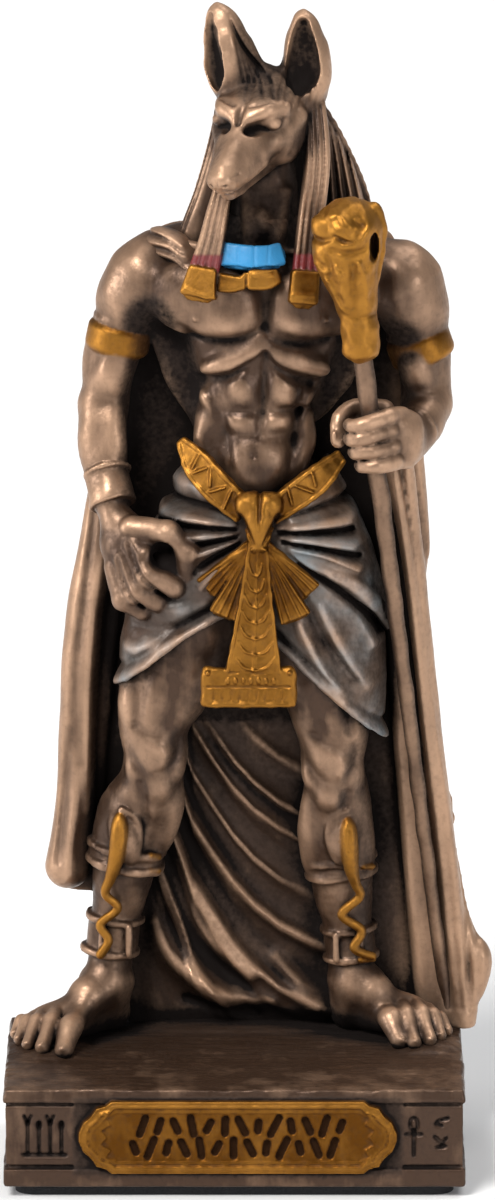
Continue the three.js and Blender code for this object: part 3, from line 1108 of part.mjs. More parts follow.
function buildPlinth() {
  const bottom = padThickness;
  const panelLow = bottom + footBandHeight;
  const panelHigh = plinthTop - lipHeight;
  const panelMiddle = (panelLow + panelHigh) / 2;
  const front = -plinthDepth / 2;
  const panelFace = front + panelRecess;
  const recessed = 2 * panelRecess;
  let solid = slab(plinthWidth - recessed, plinthDepth - recessed, plinthCorner, bottom, plinthTop)
    .add(slab(plinthWidth, plinthDepth, plinthCorner, bottom, panelLow))
    .add(slab(plinthWidth, plinthDepth, plinthCorner, panelHigh, plinthTop));

  // plaque with a sunk field, and two rows of slanting strokes in it
  const plaqueFace = front - plaqueStandOut;
  const fieldFace = plaqueFace + plaqueSink;
  const inner = plaqueOutline(plaqueWidth - 2 * plaqueRim, plaqueHeight - 2 * plaqueRim);
  solid = solid
    .add(frontPlate(plaqueOutline(plaqueWidth, plaqueHeight), plaqueShift, panelMiddle,
      panelFace + panelRecess, plaqueFace))
    .subtract(frontPlate(inner, plaqueShift, panelMiddle, fieldFace, plaqueFace - 1));
  const rowHeight = (plaqueHeight - 2 * plaqueRim) / 3;
  const strokePitch = strokeRowsWidth / (strokeCount - 0.5);
  const lean = 0.5;
  for (const row of [-1, 1]) {
    for (let i = 0; i < strokeCount; i += 1) {
      const long = rowHeight * (0.55 + 0.25 * Math.sin(i * 2.4 + row));
      const slant = lean * Math.sin(i * 1.7 + row * 0.8);
      const stagger = row > 0 ? 0.25 : -0.25;
      const x = plaqueShift + (i + 0.5 - strokeCount / 2 + stagger) * strokePitch;
      const z = panelMiddle + row * rowHeight * 0.55;
      const stroke = new THREE.BoxGeometry(strokeWidth, 2 * strokeDepth, long);
      stroke.rotateY(slant);
      solid = solid.subtract(solidOf(stroke.translate(x, fieldFace, z)));
    }
  }

  // papyrus columns to the left, standing on a line
  const sunk = (width, height, x, z) => box(width, 2 * strokeDepth, height, x, panelFace, z);
  const plaqueLeft = plaqueShift - plaqueWidth / 2;
  const firstColumn = plaqueLeft - ornamentGap - (columnCount - 1) * columnPitch;
  const columnFoot = panelMiddle - columnHeight / 2;
  for (let i = 0; i < columnCount; i += 1) {
    const x = firstColumn + i * columnPitch;
    const head = columnPitch * 0.34;
    const bell = [[-head, 0.9], [-strokeWidth * 0.3, 0], [strokeWidth * 0.3, 0], [head, 0.9]];
    solid = solid
      .subtract(sunk(strokeWidth * 0.7, columnHeight - 0.8, x, panelMiddle - 0.4))
      .subtract(frontPlate(bell, x, columnFoot + columnHeight - 0.9, panelFace + strokeDepth,
        panelFace - strokeDepth));
  }
  solid = solid.subtract(sunk(columnPitch * columnCount, strokeWidth * 0.8,
    firstColumn + (columnPitch * (columnCount - 1)) / 2, columnFoot));

  // looped cross and two short strokes to the right
  const crossX = plaqueShift + plaqueWidth / 2 + ornamentGap + 0.2;
  const crossFoot = panelMiddle - loopCrossHeight / 2;
  const loop = new THREE.TorusGeometry(loopCrossHeight * 0.17, strokeWidth * 0.45, 6, 14);
  loop.rotateX(Math.PI / 2);
  solid = solid
    .subtract(sunk(strokeWidth, loopCrossHeight * 0.6, crossX, crossFoot + loopCrossHeight * 0.3))
    .subtract(sunk(loopCrossHeight * 0.5, strokeWidth, crossX, crossFoot + loopCrossHeight * 0.58))
    .subtract(solidOf(loop.translate(crossX, panelFace, crossFoot + loopCrossHeight * 0.8)));
  const strokesX = crossX + 2.4;
  for (const [x, z, wide] of [[0, 1.1, 1.3], [-0.3, 0.4, 0.8], [0.2, -0.5, 1.2]]) {
    solid = solid.subtract(sunk(wide, strokeWidth, strokesX + x, panelMiddle + z));
  }
  return solid;
}

const part = new THREE.Group();
part.name = 'anubis_standing_statue';
part.add(meshOf('anubis_figure', buildFigure(), 0x8a6a55, 0.45, 0.8));
part.add(meshOf('plinth', buildPlinth(), 0x5a463b, 0.5, 0.7));
part.add(meshOf('felt_pad', slab(plinthWidth - 2 * padInset, plinthDepth - 2 * padInset, padCorner,
  0, padThickness), 0x151515, 0.95, 0));

export default part;
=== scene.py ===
import functools
import math

import bmesh
import bpy
import numpy as np
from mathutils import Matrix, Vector

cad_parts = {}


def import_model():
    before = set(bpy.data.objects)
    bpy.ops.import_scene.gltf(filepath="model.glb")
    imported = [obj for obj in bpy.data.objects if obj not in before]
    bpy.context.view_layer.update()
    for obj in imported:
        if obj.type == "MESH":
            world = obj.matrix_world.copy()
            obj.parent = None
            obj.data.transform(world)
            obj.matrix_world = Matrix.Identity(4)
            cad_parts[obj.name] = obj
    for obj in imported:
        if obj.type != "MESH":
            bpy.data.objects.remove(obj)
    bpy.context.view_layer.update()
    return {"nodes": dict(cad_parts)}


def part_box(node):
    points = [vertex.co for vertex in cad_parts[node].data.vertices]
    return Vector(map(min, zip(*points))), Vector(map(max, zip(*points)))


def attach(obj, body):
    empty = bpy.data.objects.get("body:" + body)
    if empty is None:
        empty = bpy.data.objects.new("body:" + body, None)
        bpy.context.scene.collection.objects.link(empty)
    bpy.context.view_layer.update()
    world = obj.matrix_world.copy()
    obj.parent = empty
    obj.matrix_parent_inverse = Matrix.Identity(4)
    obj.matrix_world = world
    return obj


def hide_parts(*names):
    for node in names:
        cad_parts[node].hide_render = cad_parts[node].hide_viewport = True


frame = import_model()

# The god is carved in hundredths of its own height: X to the viewer's right, Y away from
# the viewer, Z up from the plinth's top. The plinth is carved in millimetres.
casting = {
    "height": 81.3,  # mm, sole to ear tip
    "setBack": 5,  # mm, the god's axis behind the middle of the plinth
    "plinthTop": 8.7,
    "sole": 0.15,  # how far the soles and the hem sink into the plinth, in hundredths
    "crumb": 200,  # points; a smaller island of a mesh is dropped
}
hundredth = casting["height"] / 100
farAway = 4  # distance held where nothing is near
margin = 0.8  # round each form, where it can still soften its neighbours
forwards = (0, -1, 0)


# carving tools
def unit(v):
    v = np.asarray(v, float)
    return v / np.linalg.norm(v)


def mix(a, b, t):
    return [p + (q - p) * t for p, q in zip(a, b)]


def plus(a, b):
    return [p + q for p, q in zip(a, b)]


def easeStep(v):
    v = np.clip(v, 0, 1)
    return v * v * (3 - 2 * v)


def past(v, start, reach):
    # from nought at the start to one at the end of the reach
    return easeStep((v - start) / reach)


def before(v, end, reach):
    return easeStep((end - v) / reach)


class Layer:
    # a block of samples of the distance to a surface, negative inside
    def __init__(self, low, high, step):
        self.low, self.step = np.array(low, float), step
        self.count = [int(np.ceil((h - l) / step)) + 1 for l, h in zip(low, high)]
        self.values = np.full(self.count, farAway, np.float32)

    def like(self, values=None):
        # another layer on the same places
        other = Layer.__new__(Layer)
        other.low, other.step, other.count = self.low, self.step, self.count
        other.values = np.full_like(self.values, farAway) if values is None else values
        return other

    def region(self, low, high, pad=0):
        # the samples between two corners, and their places along each axis
        cuts, axes = [], []
        for i in range(3):
            a = max(int((low[i] - pad - self.low[i]) / self.step), 0)
            b = min(int((high[i] + pad - self.low[i]) / self.step) + 2, self.count[i])
            if b - a < 2:
                return None
            cuts.append(slice(a, b))
            shape = [1, 1, 1]
            shape[i] = b - a
            axes.append((self.low[i] + self.step * np.arange(a, b)).astype(np.float32).reshape(shape))
        return tuple(cuts), axes

    def form(self, low, high, soft, cut, distance):
        # joins a form to what is there, or cuts it out
        got = self.region(low, high, soft + margin)
        if got is None:
            return
        cuts, (x, y, z) = got
        sign = -1 if cut else 1
        self.values[cuts] = sign * softJoin(sign * self.values[cuts], distance(x, y, z), soft)

    def sample(self, points):
        # distance at scattered points
        place = (np.asarray(points) - self.low) / self.step
        top = np.array(self.count) - 1.001
        place = np.clip(place, 0, top)
        base = place.astype(int)
        t = place - base
        total = 0
        for bits in range(8):
            o = np.array([bits & 1, bits >> 1 & 1, bits >> 2])
            weight = np.prod(np.where(o, t, 1 - t), axis=1)
            n = base + o
            total = total + weight * self.values[n[:, 0], n[:, 1], n[:, 2]]
        return total


def softJoin(a, b, soft):
    if soft <= 0:
        return np.minimum(a, b)
    h = np.clip(0.5 + 0.5 * (a - b) / soft, 0, 1)
    return a + (b - a) * h - soft * h * (1 - h)


def smoothPath(points, steps):
    # a curve through the points, in a number of steps between each two
    pts = np.array([list(map(float, p)) for p in points])
    if len(pts) < 3 or steps < 2:
        return pts
    out, last = [], len(pts) - 1
    for i in range(last):
        p0, p1, p2, p3 = pts[max(i - 1, 0)], pts[i], pts[i + 1], pts[min(i + 2, last)]
        for s in range(steps):
            t = s / steps
            place = 2 * p1 + (p2 - p0) * t + (2 * p0 - 5 * p1 + 4 * p2 - p3) * t * t
            out.append(0.5 * (place + (3 * p1 - p0 - 3 * p2 + p3) * t ** 3))
    out.append(pts[-1])
    return np.array(out)


def axesFor(along, face):
    if along is None:
        return np.eye(3)
    first = unit(along)
    out = np.array(forwards if face is None else face, float)
    third = unit(out - first * (out @ first))
    return np.array([first, np.cross(third, first), third])


def alongPath(layer, points, steps, soft, cut, away):
    # joins what lies along each stretch of a path whose fourth value is its reach
    path = smoothPath(points, steps)

    def distance(x, y, z):
        stretches = (away(a, b, x - a[0], y - a[1], z - a[2]) for a, b in zip(path[:-1], path[1:]))
        return functools.reduce(np.minimum, stretches)

    reach = path[:, 3].max()
    layer.form(path[:, :3].min(0) - reach, path[:, :3].max(0) + reach, soft, cut, distance)


def limb(layer, points, soft=0.6, steps=3, cut=False):
    # round limb along points of x, y, z, radius
    def away(a, b, px, py, pz):
        along = b[:3] - a[:3]
        square = float(along @ along) + 1e-9
        t = np.clip((px * along[0] + py * along[1] + pz * along[2]) / square, 0, 1)
        out = np.sqrt((px - t * along[0]) ** 2 + (py - t * along[1]) ** 2 + (pz - t * along[2]) ** 2)
        return out - a[3] - t * (b[3] - a[3])

    alongPath(layer, points, steps, soft, cut, away)


def blob(layer, centre, radii, soft=0.6, along=None, face=None, cut=False):
    # ellipsoid with radii along, sideways and out
    axes, c = axesFor(along, face), np.array(centre, float)

    def distance(x, y, z):
        near, slope = 0, 1e-12
        for e, r in zip(axes, radii):
            q = ((x - c[0]) * e[0] + (y - c[1]) * e[1] + (z - c[2]) * e[2]) / r
            near = near + q * q
            slope = slope + (q / r) ** 2
        near = np.sqrt(near)
        return near * (near - 1) / np.sqrt(slope)

    span = np.sqrt(((axes.T * radii) ** 2).sum(1))
    layer.form(c - span, c + span, soft, cut, distance)


def muscle(layer, a, b, width, depth, face=forwards, soft=0.6):
    length = math.dist(a, b)
    blob(layer, mix(a, b, 0.5), (length * 0.56, width, depth), soft, np.subtract(b, a), face)


def strap(layer, points, face, soft=0.2, edge=0.15, steps=3):
    # flat strap along points of x, y, z, half width, half thickness
    def away(a, b, px, py, pz):
        length = math.dist(a[:3], b[:3])
        u, v, w = (px * e[0] + py * e[1] + pz * e[2] for e in axesFor(b[:3] - a[:3], face))
        t = np.clip(u / length, 0, 1)
        rounding = min(edge, min(a[4], b[4]) * 0.95)
        across = np.abs(v) - (a[3] + t * (b[3] - a[3]) - rounding)
        out = np.abs(w) - (a[4] + t * (b[4] - a[4]) - rounding)
        corner = np.sqrt(np.maximum(across, 0) ** 2 + np.maximum(out, 0) ** 2 + (u - t * length) ** 2)
        return corner + np.minimum(np.maximum(across, out), 0) - rounding

    alongPath(layer, points, steps, soft, False, away)


def roundBlock(layer, centre, half, edge, soft):
    # upright rounded block
    c, h = np.array(centre, float), np.array(half, float)

    def distance(x, y, z):
        out, inside = 0, -1e9
        for q, middle, size in zip((x, y, z), c, h):
            q = np.abs(q - middle) - (size - edge)
            out = out + np.maximum(q, 0) ** 2
            inside = np.maximum(inside, q)
        return np.sqrt(out) + np.minimum(inside, 0) - edge

    layer.form(c - h, c + h, soft, False, distance)


def band(layer, centre, axis, radius, half, edge, soft=0.15):
    # band round a limb: a disc across an axis, with rounded edges
    c, e = np.array(centre, float), unit(axis)

    def distance(x, y, z):
        px, py, pz = x - c[0], y - c[1], z - c[2]
        u = px * e[0] + py * e[1] + pz * e[2]
        out = np.sqrt(np.maximum(px * px + py * py + pz * pz - u * u, 0)) - (radius - edge)
        up = np.abs(u) - (half - edge)
        away = np.sqrt(np.maximum(out, 0) ** 2 + np.maximum(up, 0) ** 2)
        return away + np.minimum(np.maximum(out, up), 0) - edge

    span = np.full(3, radius + half)
    layer.form(c - span, c + span, soft, False, distance)


def nearLine(x, z, a, b, tiny=0):
    # share of the way from a to b that is nearest, and how far off it a place is each way
    ux, uz = b[0] - a[0], b[1] - a[1]
    t = np.clip(((x - a[0]) * ux + (z - a[1]) * uz) / (ux * ux + uz * uz + tiny), 0, 1)
    return t, x - a[0] - t * ux, z - a[1] - t * uz


def fold(layer, points, yLow, yHigh, steps=3):
    # ridge or groove drawn on the surface along points of x, z, width, height
    path = smoothPath(points, steps)
    spread = 2.4 * path[:, 2].max()
    low, high = path[:, :2].min(0) - spread, path[:, :2].max(0) + spread
    got = layer.region((low[0], yLow, low[1]), (high[0], yHigh, high[1]))
    if got is None:
        return
    cuts, (x, _, z) = got
    best = 0
    for a, b in zip(path[:-1], path[1:]):
        t, dx, dz = nearLine(x, z, a, b, 1e-9)
        width = a[2] + t * (b[2] - a[2])
        height = (a[3] + t * (b[3] - a[3])) * np.exp(-(dx ** 2 + dz ** 2) / (width * width))
        best = np.where(np.abs(height) > np.abs(best), height, best)
    layer.values[cuts] -= best.astype(np.float32)


def folds(layer, lines, yLow, yHigh, steps=3):
    for points in lines:
        fold(layer, points, yLow, yHigh, steps)


def roughen(layer, pitch, depth):
    # uneven, hand-modelled surface: slow waves that cross and bend one another
    x, y, z = layer.region(layer.low, layer.low + layer.step * np.array(layer.count))[1]
    bend = pitch * 0.6
    wave = np.sin(pitch * x + 1.7 * np.sin(bend * z + 0.8)) * np.sin(pitch * 0.9 * y + 1.5 * np.sin(bend * x))
    wave = wave + np.sin(pitch * 1.1 * z + 1.9 * np.sin(bend * y + 1.3)) * np.sin(pitch * 0.8 * x - 0.7)
    layer.values -= (depth * 0.5 * wave).astype(np.float32)


def between(place, places, values):
    return np.interp(place.ravel(), places, values).astype(np.float32).reshape(place.shape)


# Where the parts of the god stand
neckRoot = (2.9, 0.6, 74)
shoulderLine = (2.9, 1.8, 78)
leftShoulder, leftElbow, leftWrist = (-8.2, 1, 73.6), (-12.4, 1.5, 61.2), (-11.1, -2.6, 50.8)
rightShoulder, rightElbow, rightWrist = (15.7, 1, 73), (18.1, 0.8, 61.5), (15.8, -5.4, 58.6)
skull = (3, 0.6, 88.6)
gaze, headSide, headUp = (-0.381, -0.856, -0.350), (0.914, -0.407, 0), (-0.142, -0.320, 0.937)
staffTop, staffFoot = (11.7, -8.2, 70), (20.6, 3, -0.5)
knot = (2.4, -6.5, 51.8)
leftLeg = {
    "side": -1,
    "hip": (-2.6, 0.6, 46), "knee": (-7.5, -1.9, 28.2), "calf": (-9.8, 0.3, 21),
    "cuff": (-11.6, 0.9, 9.6), "ankle": (-12.3, 0.2, 4.8), "heel": (-12.2, 2.2, 1.6),
    "ball": (-15.4, -2.4, 2),
    "knuckles": ((-15.2, -3.9, 2.5), (-16.9, -2.4, 2.7), (-18.2, -2, 2.4), (-19.2, -1.6, 2),
                 (-19.9, -0.8, 1.5)),
    "toes": ((-16.2, -8, 1.1), (-18.2, -7.3, 0.9), (-19.6, -6.3, 0.82), (-20.5, -4.6, 0.72),
             (-20.9, -2.8, 0.62)),
}
rightLeg = {
    "side": 1,
    "hip": (7.6, 0.6, 45), "knee": (9.3, -1.8, 27.3), "calf": (9.8, 0.6, 19.5),
    "cuff": (10.9, 1.3, 8.6), "ankle": (11.6, 0.6, 4.8), "heel": (11.2, 2.6, 1.6),
    "ball": (14.6, -0.9, 2.3),
    "knuckles": ((14.3, -1.9, 2.7), (15.8, -0.7, 3.1), (17.2, -0.4, 3), (18.5, -0.4, 2.5),
                 (19.3, -0.1, 1.8)),
    "toes": ((15.7, -5, 1.1), (17.1, -5.6, 0.88), (18.5, -4.8, 0.84), (19.6, -3.4, 0.74),
             (20.3, -1.8, 0.6)),
}


def carveNeck(skin):
    limb(skin, [(2.9, 1.6, 85, 3), (2.9, 1, 77, 3.4), (*neckRoot, 3.6)], 0.8)
    for x, lean in ((1, 0.4), (4.8, -0.6)):
        limb(skin, [(x, -1.2, 82, 0.5), (x + lean, -1.9, 79, 0.65), (x + lean * 1.8, -2.2, 75.5, 0.6)], 0.9,
            6)
    blob(skin, (2.6, -2, 79.6), (0.8, 0.8, 1.2), 0.7)


def carveTorso(skin):
    mid = neckRoot[0]
    blob(skin, (2.7, 0.8, 69.5), (7.6, 5.2, 9.5), 0)
    blob(skin, (1.5, 0.5, 60), (5.2, 4.5, 9), 1.5)
    blob(skin, (2.1, 0.5, 51), (7.2, 4.9, 7.5), 1.5)
    carveNeck(skin)
    limb(skin, [(*shoulderLine, 2.6), (-7.5, 1.4, 75.4, 2.6)], 1.5)
    limb(skin, [(*shoulderLine, 2.6), (15, 1.4, 74.2, 2.8)], 1.5)
    for side, far in ((-1, -7.9), (1, 13.2)):
        # chest, back muscle, rib arches, belly muscles, flank
        muscle(skin, (mid + side, -3.9, 71.8), (far, -1.4, 72.8), 3.7, 2.4, (0, -1, -0.1), 0.7)
        muscle(skin, (mid + side * 0.8, -3.9, 70.6), (mid + side * 6.6, -3, 70.4), 1.7, 1.8, (0, -1, -0.2),
            0.9)
        muscle(skin, (far - side * 1.2, 1.8, 71), (2 + side * 4.2, 1.6, 60), 1.2, 3, (side, -0.6, 0), 1.5)
        muscle(skin, (mid + side * 0.2, -3.7, 67.6), (mid + side * 5.8, -2.4, 65.4), 1.3, 1.45,
            (side * 0.3, -1, 0), 0.8)
        muscle(skin, (2.2 + side * 4.9, -1.6, 63.4), (1.8 + side * 3.4, -2.2, 61.8), 1, 1,
            (side * 0.5, -1, 0), 0.9)
        muscle(skin, (2 + side * 5.2, -1.2, 61.2), (1.8 + side * 3.7, -1.9, 59.4), 1, 1, (side * 0.6, -1, 0),
            0.9)
        blob(skin, (2.55 + side * 1.85, -2.6, 63.9), (1.75, 1.85, 2.3), 0.7)
        blob(skin, (2.3 + side * 1.6, -2.6, 60.6), (1.6, 1.65, 1.4), 0.9)
        muscle(skin, (1.9 + side * 5, -1, 60), (1.9 + side * 3.1, -2.4, 54.5), 1.3, 1.6, (side * 0.6, -1, 0),
            0.9)
    blob(skin, (2.1, -2.6, 56.4), (3.3, 2.6, 3.9), 0.9)
    furrows = (
        ((2.95, 74, 0.6, -0.15), (2.95, 71.5, 0.5, -0.3), (2.9, 69.6, 0.5, -0.4)),  # breastbone
        ((2.9, 67, 0.4, -0.25), (2.8, 64.4, 0.4, -0.4), (2.7, 62, 0.4, -0.35), (2.4, 59.6, 0.4, -0.2)),
        ((-5.2, 69.9, 0.4, -0.2), (-2.9, 68.6, 0.38, -0.32), (-0.4, 68.5, 0.35, -0.35),
         (1.5, 69.1, 0.35, -0.3), (2.8, 70, 0.3, -0.2)),
        ((2.9, 69.9, 0.3, -0.2), (3.8, 68.6, 0.35, -0.3), (6.3, 68.1, 0.38, -0.32), (8.7, 68.4, 0.4, -0.25)),
        ((2.9, 67.4, 0.3, -0.2), (1.1, 66.2, 0.35, -0.3), (-0.6, 65, 0.45, -0.45), (-2.8, 64.5, 0.5, -0.35)),
        ((2.9, 67.4, 0.3, -0.2), (3.8, 66.1, 0.35, -0.3), (5.5, 64.9, 0.45, -0.4), (7, 64.2, 0.5, -0.3)),
        ((-0.8, 61.6, 0.45, -0.15), (0.8, 61.7, 0.42, -0.24), (2.7, 61.5, 0.4, -0.12),
         (4.4, 61.7, 0.42, -0.24), (6, 61.6, 0.45, -0.15)),
        ((-0.6, 59.5, 0.5, -0.1), (1.2, 59.3, 0.5, -0.16), (2.6, 59.3, 0.45, -0.14), (4.4, 59.6, 0.5, -0.12)),
        ((-2.9, 64.3, 0.5, -0.3), (-2.1, 62.6, 0.45, -0.32), (-1.2, 61, 0.45, -0.32),
         (-0.7, 58.6, 0.45, -0.3), (-0.3, 56.5, 0.4, -0.15)),
        ((7, 64, 0.5, -0.25), (6, 61.6, 0.45, -0.32), (5.6, 59, 0.45, -0.3), (5.2, 56.5, 0.4, -0.15)),
        ((1.85, 58.4, 0.4, -0.1), (1.8, 57.7, 0.35, -0.22)),  # navel
    )
    folds(skin, furrows, -8, -1, 5)
    for x in (-3.7, 8.6):
        fold(skin, [(x, 70.7, 0.22, 0.25), (x + 0.1, 70.7, 0.22, 0.25)], -9, -1)
    # collar bones, shoulder blades and the line of the spine
    limb(skin, [(1.8, -2.6, 76.9, 0.35), (-2.5, -2.4, 77, 0.5), (-6.4, -0.6, 77.6, 0.4)], 0.5, 5)
    limb(skin, [(4.2, -2.6, 76.9, 0.35), (8.2, -2.2, 76.6, 0.5), (12.4, -0.4, 76.8, 0.4)], 0.5, 5)


def carveArms(skin):
    limb(skin, [(*leftShoulder, 3.7), (-9.8, 1.3, 70.6, 3.1), (-11.2, 1.6, 66.5, 2.4), (*leftElbow, 2.2)],
        0.8, 6)
    muscle(skin, (-7.4, 0.3, 76.4), (-11.3, 0.8, 69.4), 3.3, 2.9, (-1, -1, 0.3), 0.8)
    muscle(skin, (-10.5, 0.1, 68.4), (-12, 0, 62.4), 1.8, 1.7, (0.3, -1, 0), 0.9)
    muscle(skin, (-12.3, 1.6, 69), (-13.2, 1.9, 63.2), 1.5, 1.5, (-1, 0.2, 0), 0.9)
    limb(skin, [(*leftElbow, 2.3), (-12.4, 0.5, 57.5, 2.3), (-11.9, -0.9, 54, 1.85), (*leftWrist, 1.5)], 0.6,
        6)
    muscle(skin, (-13.1, 0.4, 62.4), (-12.9, -0.5, 55.8), 1.3, 1.2, (-0.6, -1, 0), 0.9)
    muscle(skin, (-11.5, -0.4, 61.6), (-11.3, -1.4, 56), 1.2, 1.1, (0.5, -1, 0), 0.9)
    limb(skin, [(*rightShoulder, 3.9), (17, 1.3, 69.6, 3.1), (17.9, 1.6, 65, 2.5), (*rightElbow, 2.3)], 0.8,
        6)
    muscle(skin, (14.4, 0.3, 75.8), (18.2, 0.8, 68.2), 3.5, 3.1, (1, -1, 0.3), 0.8)
    muscle(skin, (16.5, -0.5, 68.4), (17.7, -0.6, 62.6), 1.7, 1.5, (-0.3, -1, 0), 0.9)
    limb(skin, [(*rightElbow, 2.3), (17.6, -1.6, 60.2, 2.2), (16.5, -4, 59, 1.9), (*rightWrist, 1.9)], 0.6, 6)
    muscle(skin, (18.2, -0.6, 62), (16.9, -4.2, 60.4), 1.3, 1, (0.2, -0.4, 1), 0.8)


def carveOpenHand(skin):
    # palm, a forefinger and thumb that make a ring, three bent fingers
    blob(skin, (-10.4, -3.4, 48.9), (3.6, 2.3, 1.7), 0.6, (0.15, -0.3, -1), (-0.3, -1, 0))
    blob(skin, (-9, -4, 49.5), (2.6, 1.8, 1.6), 0.6, (1, -0.4, 0.2), (-0.3, -1, 0))
    blob(skin, (-9, -4.1, 45.4), (2.2, 2.4, 1.5), 0.5, (1, -0.3, -0.6), (-0.3, -1, 0))
    blob(skin, (-7.6, -4.2, 46.2), (1.5, 1.5, 1.3), 0.5)
    fingers = (
        ((-9.6, -4.2, 50.5, 1.3), (-6.2, -5.4, 50.3, 1.25), (-4.35, -5.9, 48.5, 1.1),
         (-4.6, -5.7, 46.4, 0.9)),
        ((-9.4, -4.6, 49, 1.25), (-8.4, -5.6, 48.2, 1.05), (-7.6, -5.9, 46.6, 0.9)),
        ((-9.4, -4.8, 49, 1.25), (-8.1, -6.3, 46.4, 1.25), (-5.7, -6.4, 45.4, 1.1)),
        ((-10.3, -4.6, 47.8, 1.2), (-9.2, -5.9, 44.8, 1.2), (-7.2, -5.9, 43.9, 1.05)),
        ((-11.2, -3.9, 46.8, 1.1), (-10.4, -5.1, 43.9, 1.1), (-8.7, -5.2, 42.8, 0.95)),
    )
    for finger in fingers:
        limb(skin, finger, 0.16, 1)
        for x, y, z, thick in finger[1:-1]:
            blob(skin, (x, y - 0.1, z + 0.1), (thick * 1.03,) * 3, 0.25)
    blob(skin, (-6.75, -6.3, 48.3), (1.2, 2.1, 1.35), 0.3, cut=True)  # the ring's hole
    furrows = (
        ((-9.9, 49.4, 0.25, -0.2), (-8.9, 46.9, 0.22, -0.4), (-6.6, 44.6, 0.2, -0.35)),
        ((-11, 48, 0.25, -0.15), (-10.2, 45.4, 0.22, -0.4), (-8.6, 43.4, 0.2, -0.35)),
    )
    folds(skin, furrows, -8.5, -3.5, 5)


def carveFist(skin):
    # back of the hand, four fingers one under another round the staff, thumb
    blob(skin, (15.3, -5.8, 60.2), (2.5, 2, 2.3), 0.8, (1, 0.45, 0.1), (0, 0, 1))
    blob(skin, (15.2, -5.6, 58.3), (2.3, 1.8, 1.5), 0.8, (1, 0.45, 0.1), (0, 0, 1))
    for z in (61.2, 59.9, 58.6):
        limb(skin, [(14.4, -7.5, z + 0.2, 0.3), (15.8, -7, z + 0.2, 0.32), (17, -5.4, z + 0.1, 0.25)], 0.5, 4)
    rows = ((14.3, 62, 10.9, 61.4), (14.4, 60.6, 10.9, 60.1), (14.6, 59.2, 11.3, 58.8),
            (14.8, 57.8, 11.9, 57.5))
    for x, z, tipX, tipZ in rows:
        limb(skin, [(x + 1.4, -6, z - 0.2, 0.9), (x, -7.6, z, 0.86),
            ((x + tipX) / 2, -8.9, (z + tipZ) / 2, 0.76), (tipX, -8.7, tipZ, 0.68),
            (tipX - 0.1, -7.6, tipZ, 0.55)], 0.07, 2)
        blob(skin, (x + 0.1, -7.7, z + 0.1), (0.9, 0.85, 0.85), 0.2)
    limb(skin, [(14, -4.6, 61.9, 1.1), (11.4, -4.9, 62.3, 0.9), (9.9, -6.2, 61.6, 0.8), (9.7, -7, 59.6, 0.7)],
        0.15, 3)
    blob(skin, (9.35, -7.55, 60), (0.25, 0.25, 0.7), 0.05)


def carveLeg(skin, leg):
    side, hip, calf, cuff, heel = leg["side"], leg["hip"], leg["calf"], leg["cuff"], leg["heel"]
    kx, ky, kz = leg["knee"]
    shin = (kx + side * 0.5, ky + 0.9)
    limb(skin, [(*hip, 5.7), ((hip[0] + kx) / 2 - side * 0.2, -0.8, (hip[2] + kz) / 2 + 1, 4.8),
        (kx, ky + 0.2, kz + 3.6, 3.5), (kx, ky, kz, 3), (*shin, kz - 4, 2.8)], 0.8, 6)
    limb(skin, [(*shin, kz - 3.4, 2.8), (*calf, 3.5),
        ((calf[0] + cuff[0]) / 2, calf[1] + 0.3, (calf[2] + cuff[2]) / 2, 2.8), (*cuff, 2.2),
        (heel[0], heel[1] - 1, 3, 2.1)], 0.8, 6)
    blob(skin, (kx + 0.1, ky - 1.9, kz + 0.4), (1.5, 1.3, 1.7), 0.8)
    muscle(skin, (kx - 2.2, ky + 0.1, kz + 8.4), (kx - 1.6, ky - 1.2, kz + 2), 1.5, 1.8, (-0.4, -1, 0), 0.8)
    muscle(skin, (kx + 2.2, ky + 0.1, kz + 8.8), (kx + 1.7, ky - 1.2, kz + 2.4), 1.5, 1.8, (0.4, -1, 0), 0.8)
    muscle(skin, (kx, ky - 1, kz + 10.4), (kx, ky - 1.8, kz + 3.4), 1.6, 1.5, forwards, 0.9)
    blob(skin, (kx - side * 0.3, ky - 1.5, kz - 2.9), (1.2, 1.1, 1.4), 0.9)
    for out in (-1, 1):
        muscle(skin, (kx + out * 1.9, ky - 0.2, kz - 3), (calf[0] + out * 2.2, calf[1] - 0.5, calf[2] - 3.4),
            1.4, 1.5, (out, -0.7, 0), 0.9)
        blob(skin, (kx + out * 1.8, ky - 1.1, kz - 1.1), (1, 1, 1.4), 0.7)
    furrows = (
        ((kx - 2.6, kz + 1.2, 0.5, -0.12), (kx - 1.9, kz - 0.5, 0.5, -0.26), (kx - 1, kz - 1.5, 0.5, -0.12)),
        ((kx - 0.3, kz + 1.4, 0.45, 0.1), (kx + 0.9, kz + 0.7, 0.45, 0.22), (kx + 0.7, kz - 0.5, 0.4, 0.12)),
        ((kx + 1.3, kz - 0.9, 0.4, -0.15), (kx + 2, kz + 0.2, 0.42, -0.28), (kx + 2.2, kz + 2, 0.4, -0.15)),
        ((kx - 1.9, kz + 3.3, 0.45, -0.2), (kx - 0.7, kz + 2.6, 0.42, -0.24),
         (kx + 0.5, kz + 2.5, 0.4, -0.1)),
        ((kx + side * 0.6, kz + 9.4, 0.7, -0.15), (kx + side * 1.3, kz + 6.4, 0.6, -0.3),
         (kx + side * 1.7, kz + 3.6, 0.45, -0.25)),
        ((kx - side * 1.6, kz + 8, 0.6, -0.1), (kx - side * 1.5, kz + 5.4, 0.55, -0.25),
         (kx - side * 0.9, kz + 3.2, 0.45, -0.2)),
        ((kx + side * 1.3, kz - 2.6, 0.45, -0.25), (kx + side, kz - 6, 0.45, -0.38),
         (kx + side * 1.4, kz - 9, 0.4, -0.2)),
    )
    folds(skin, furrows, -9, -1.5, 5)


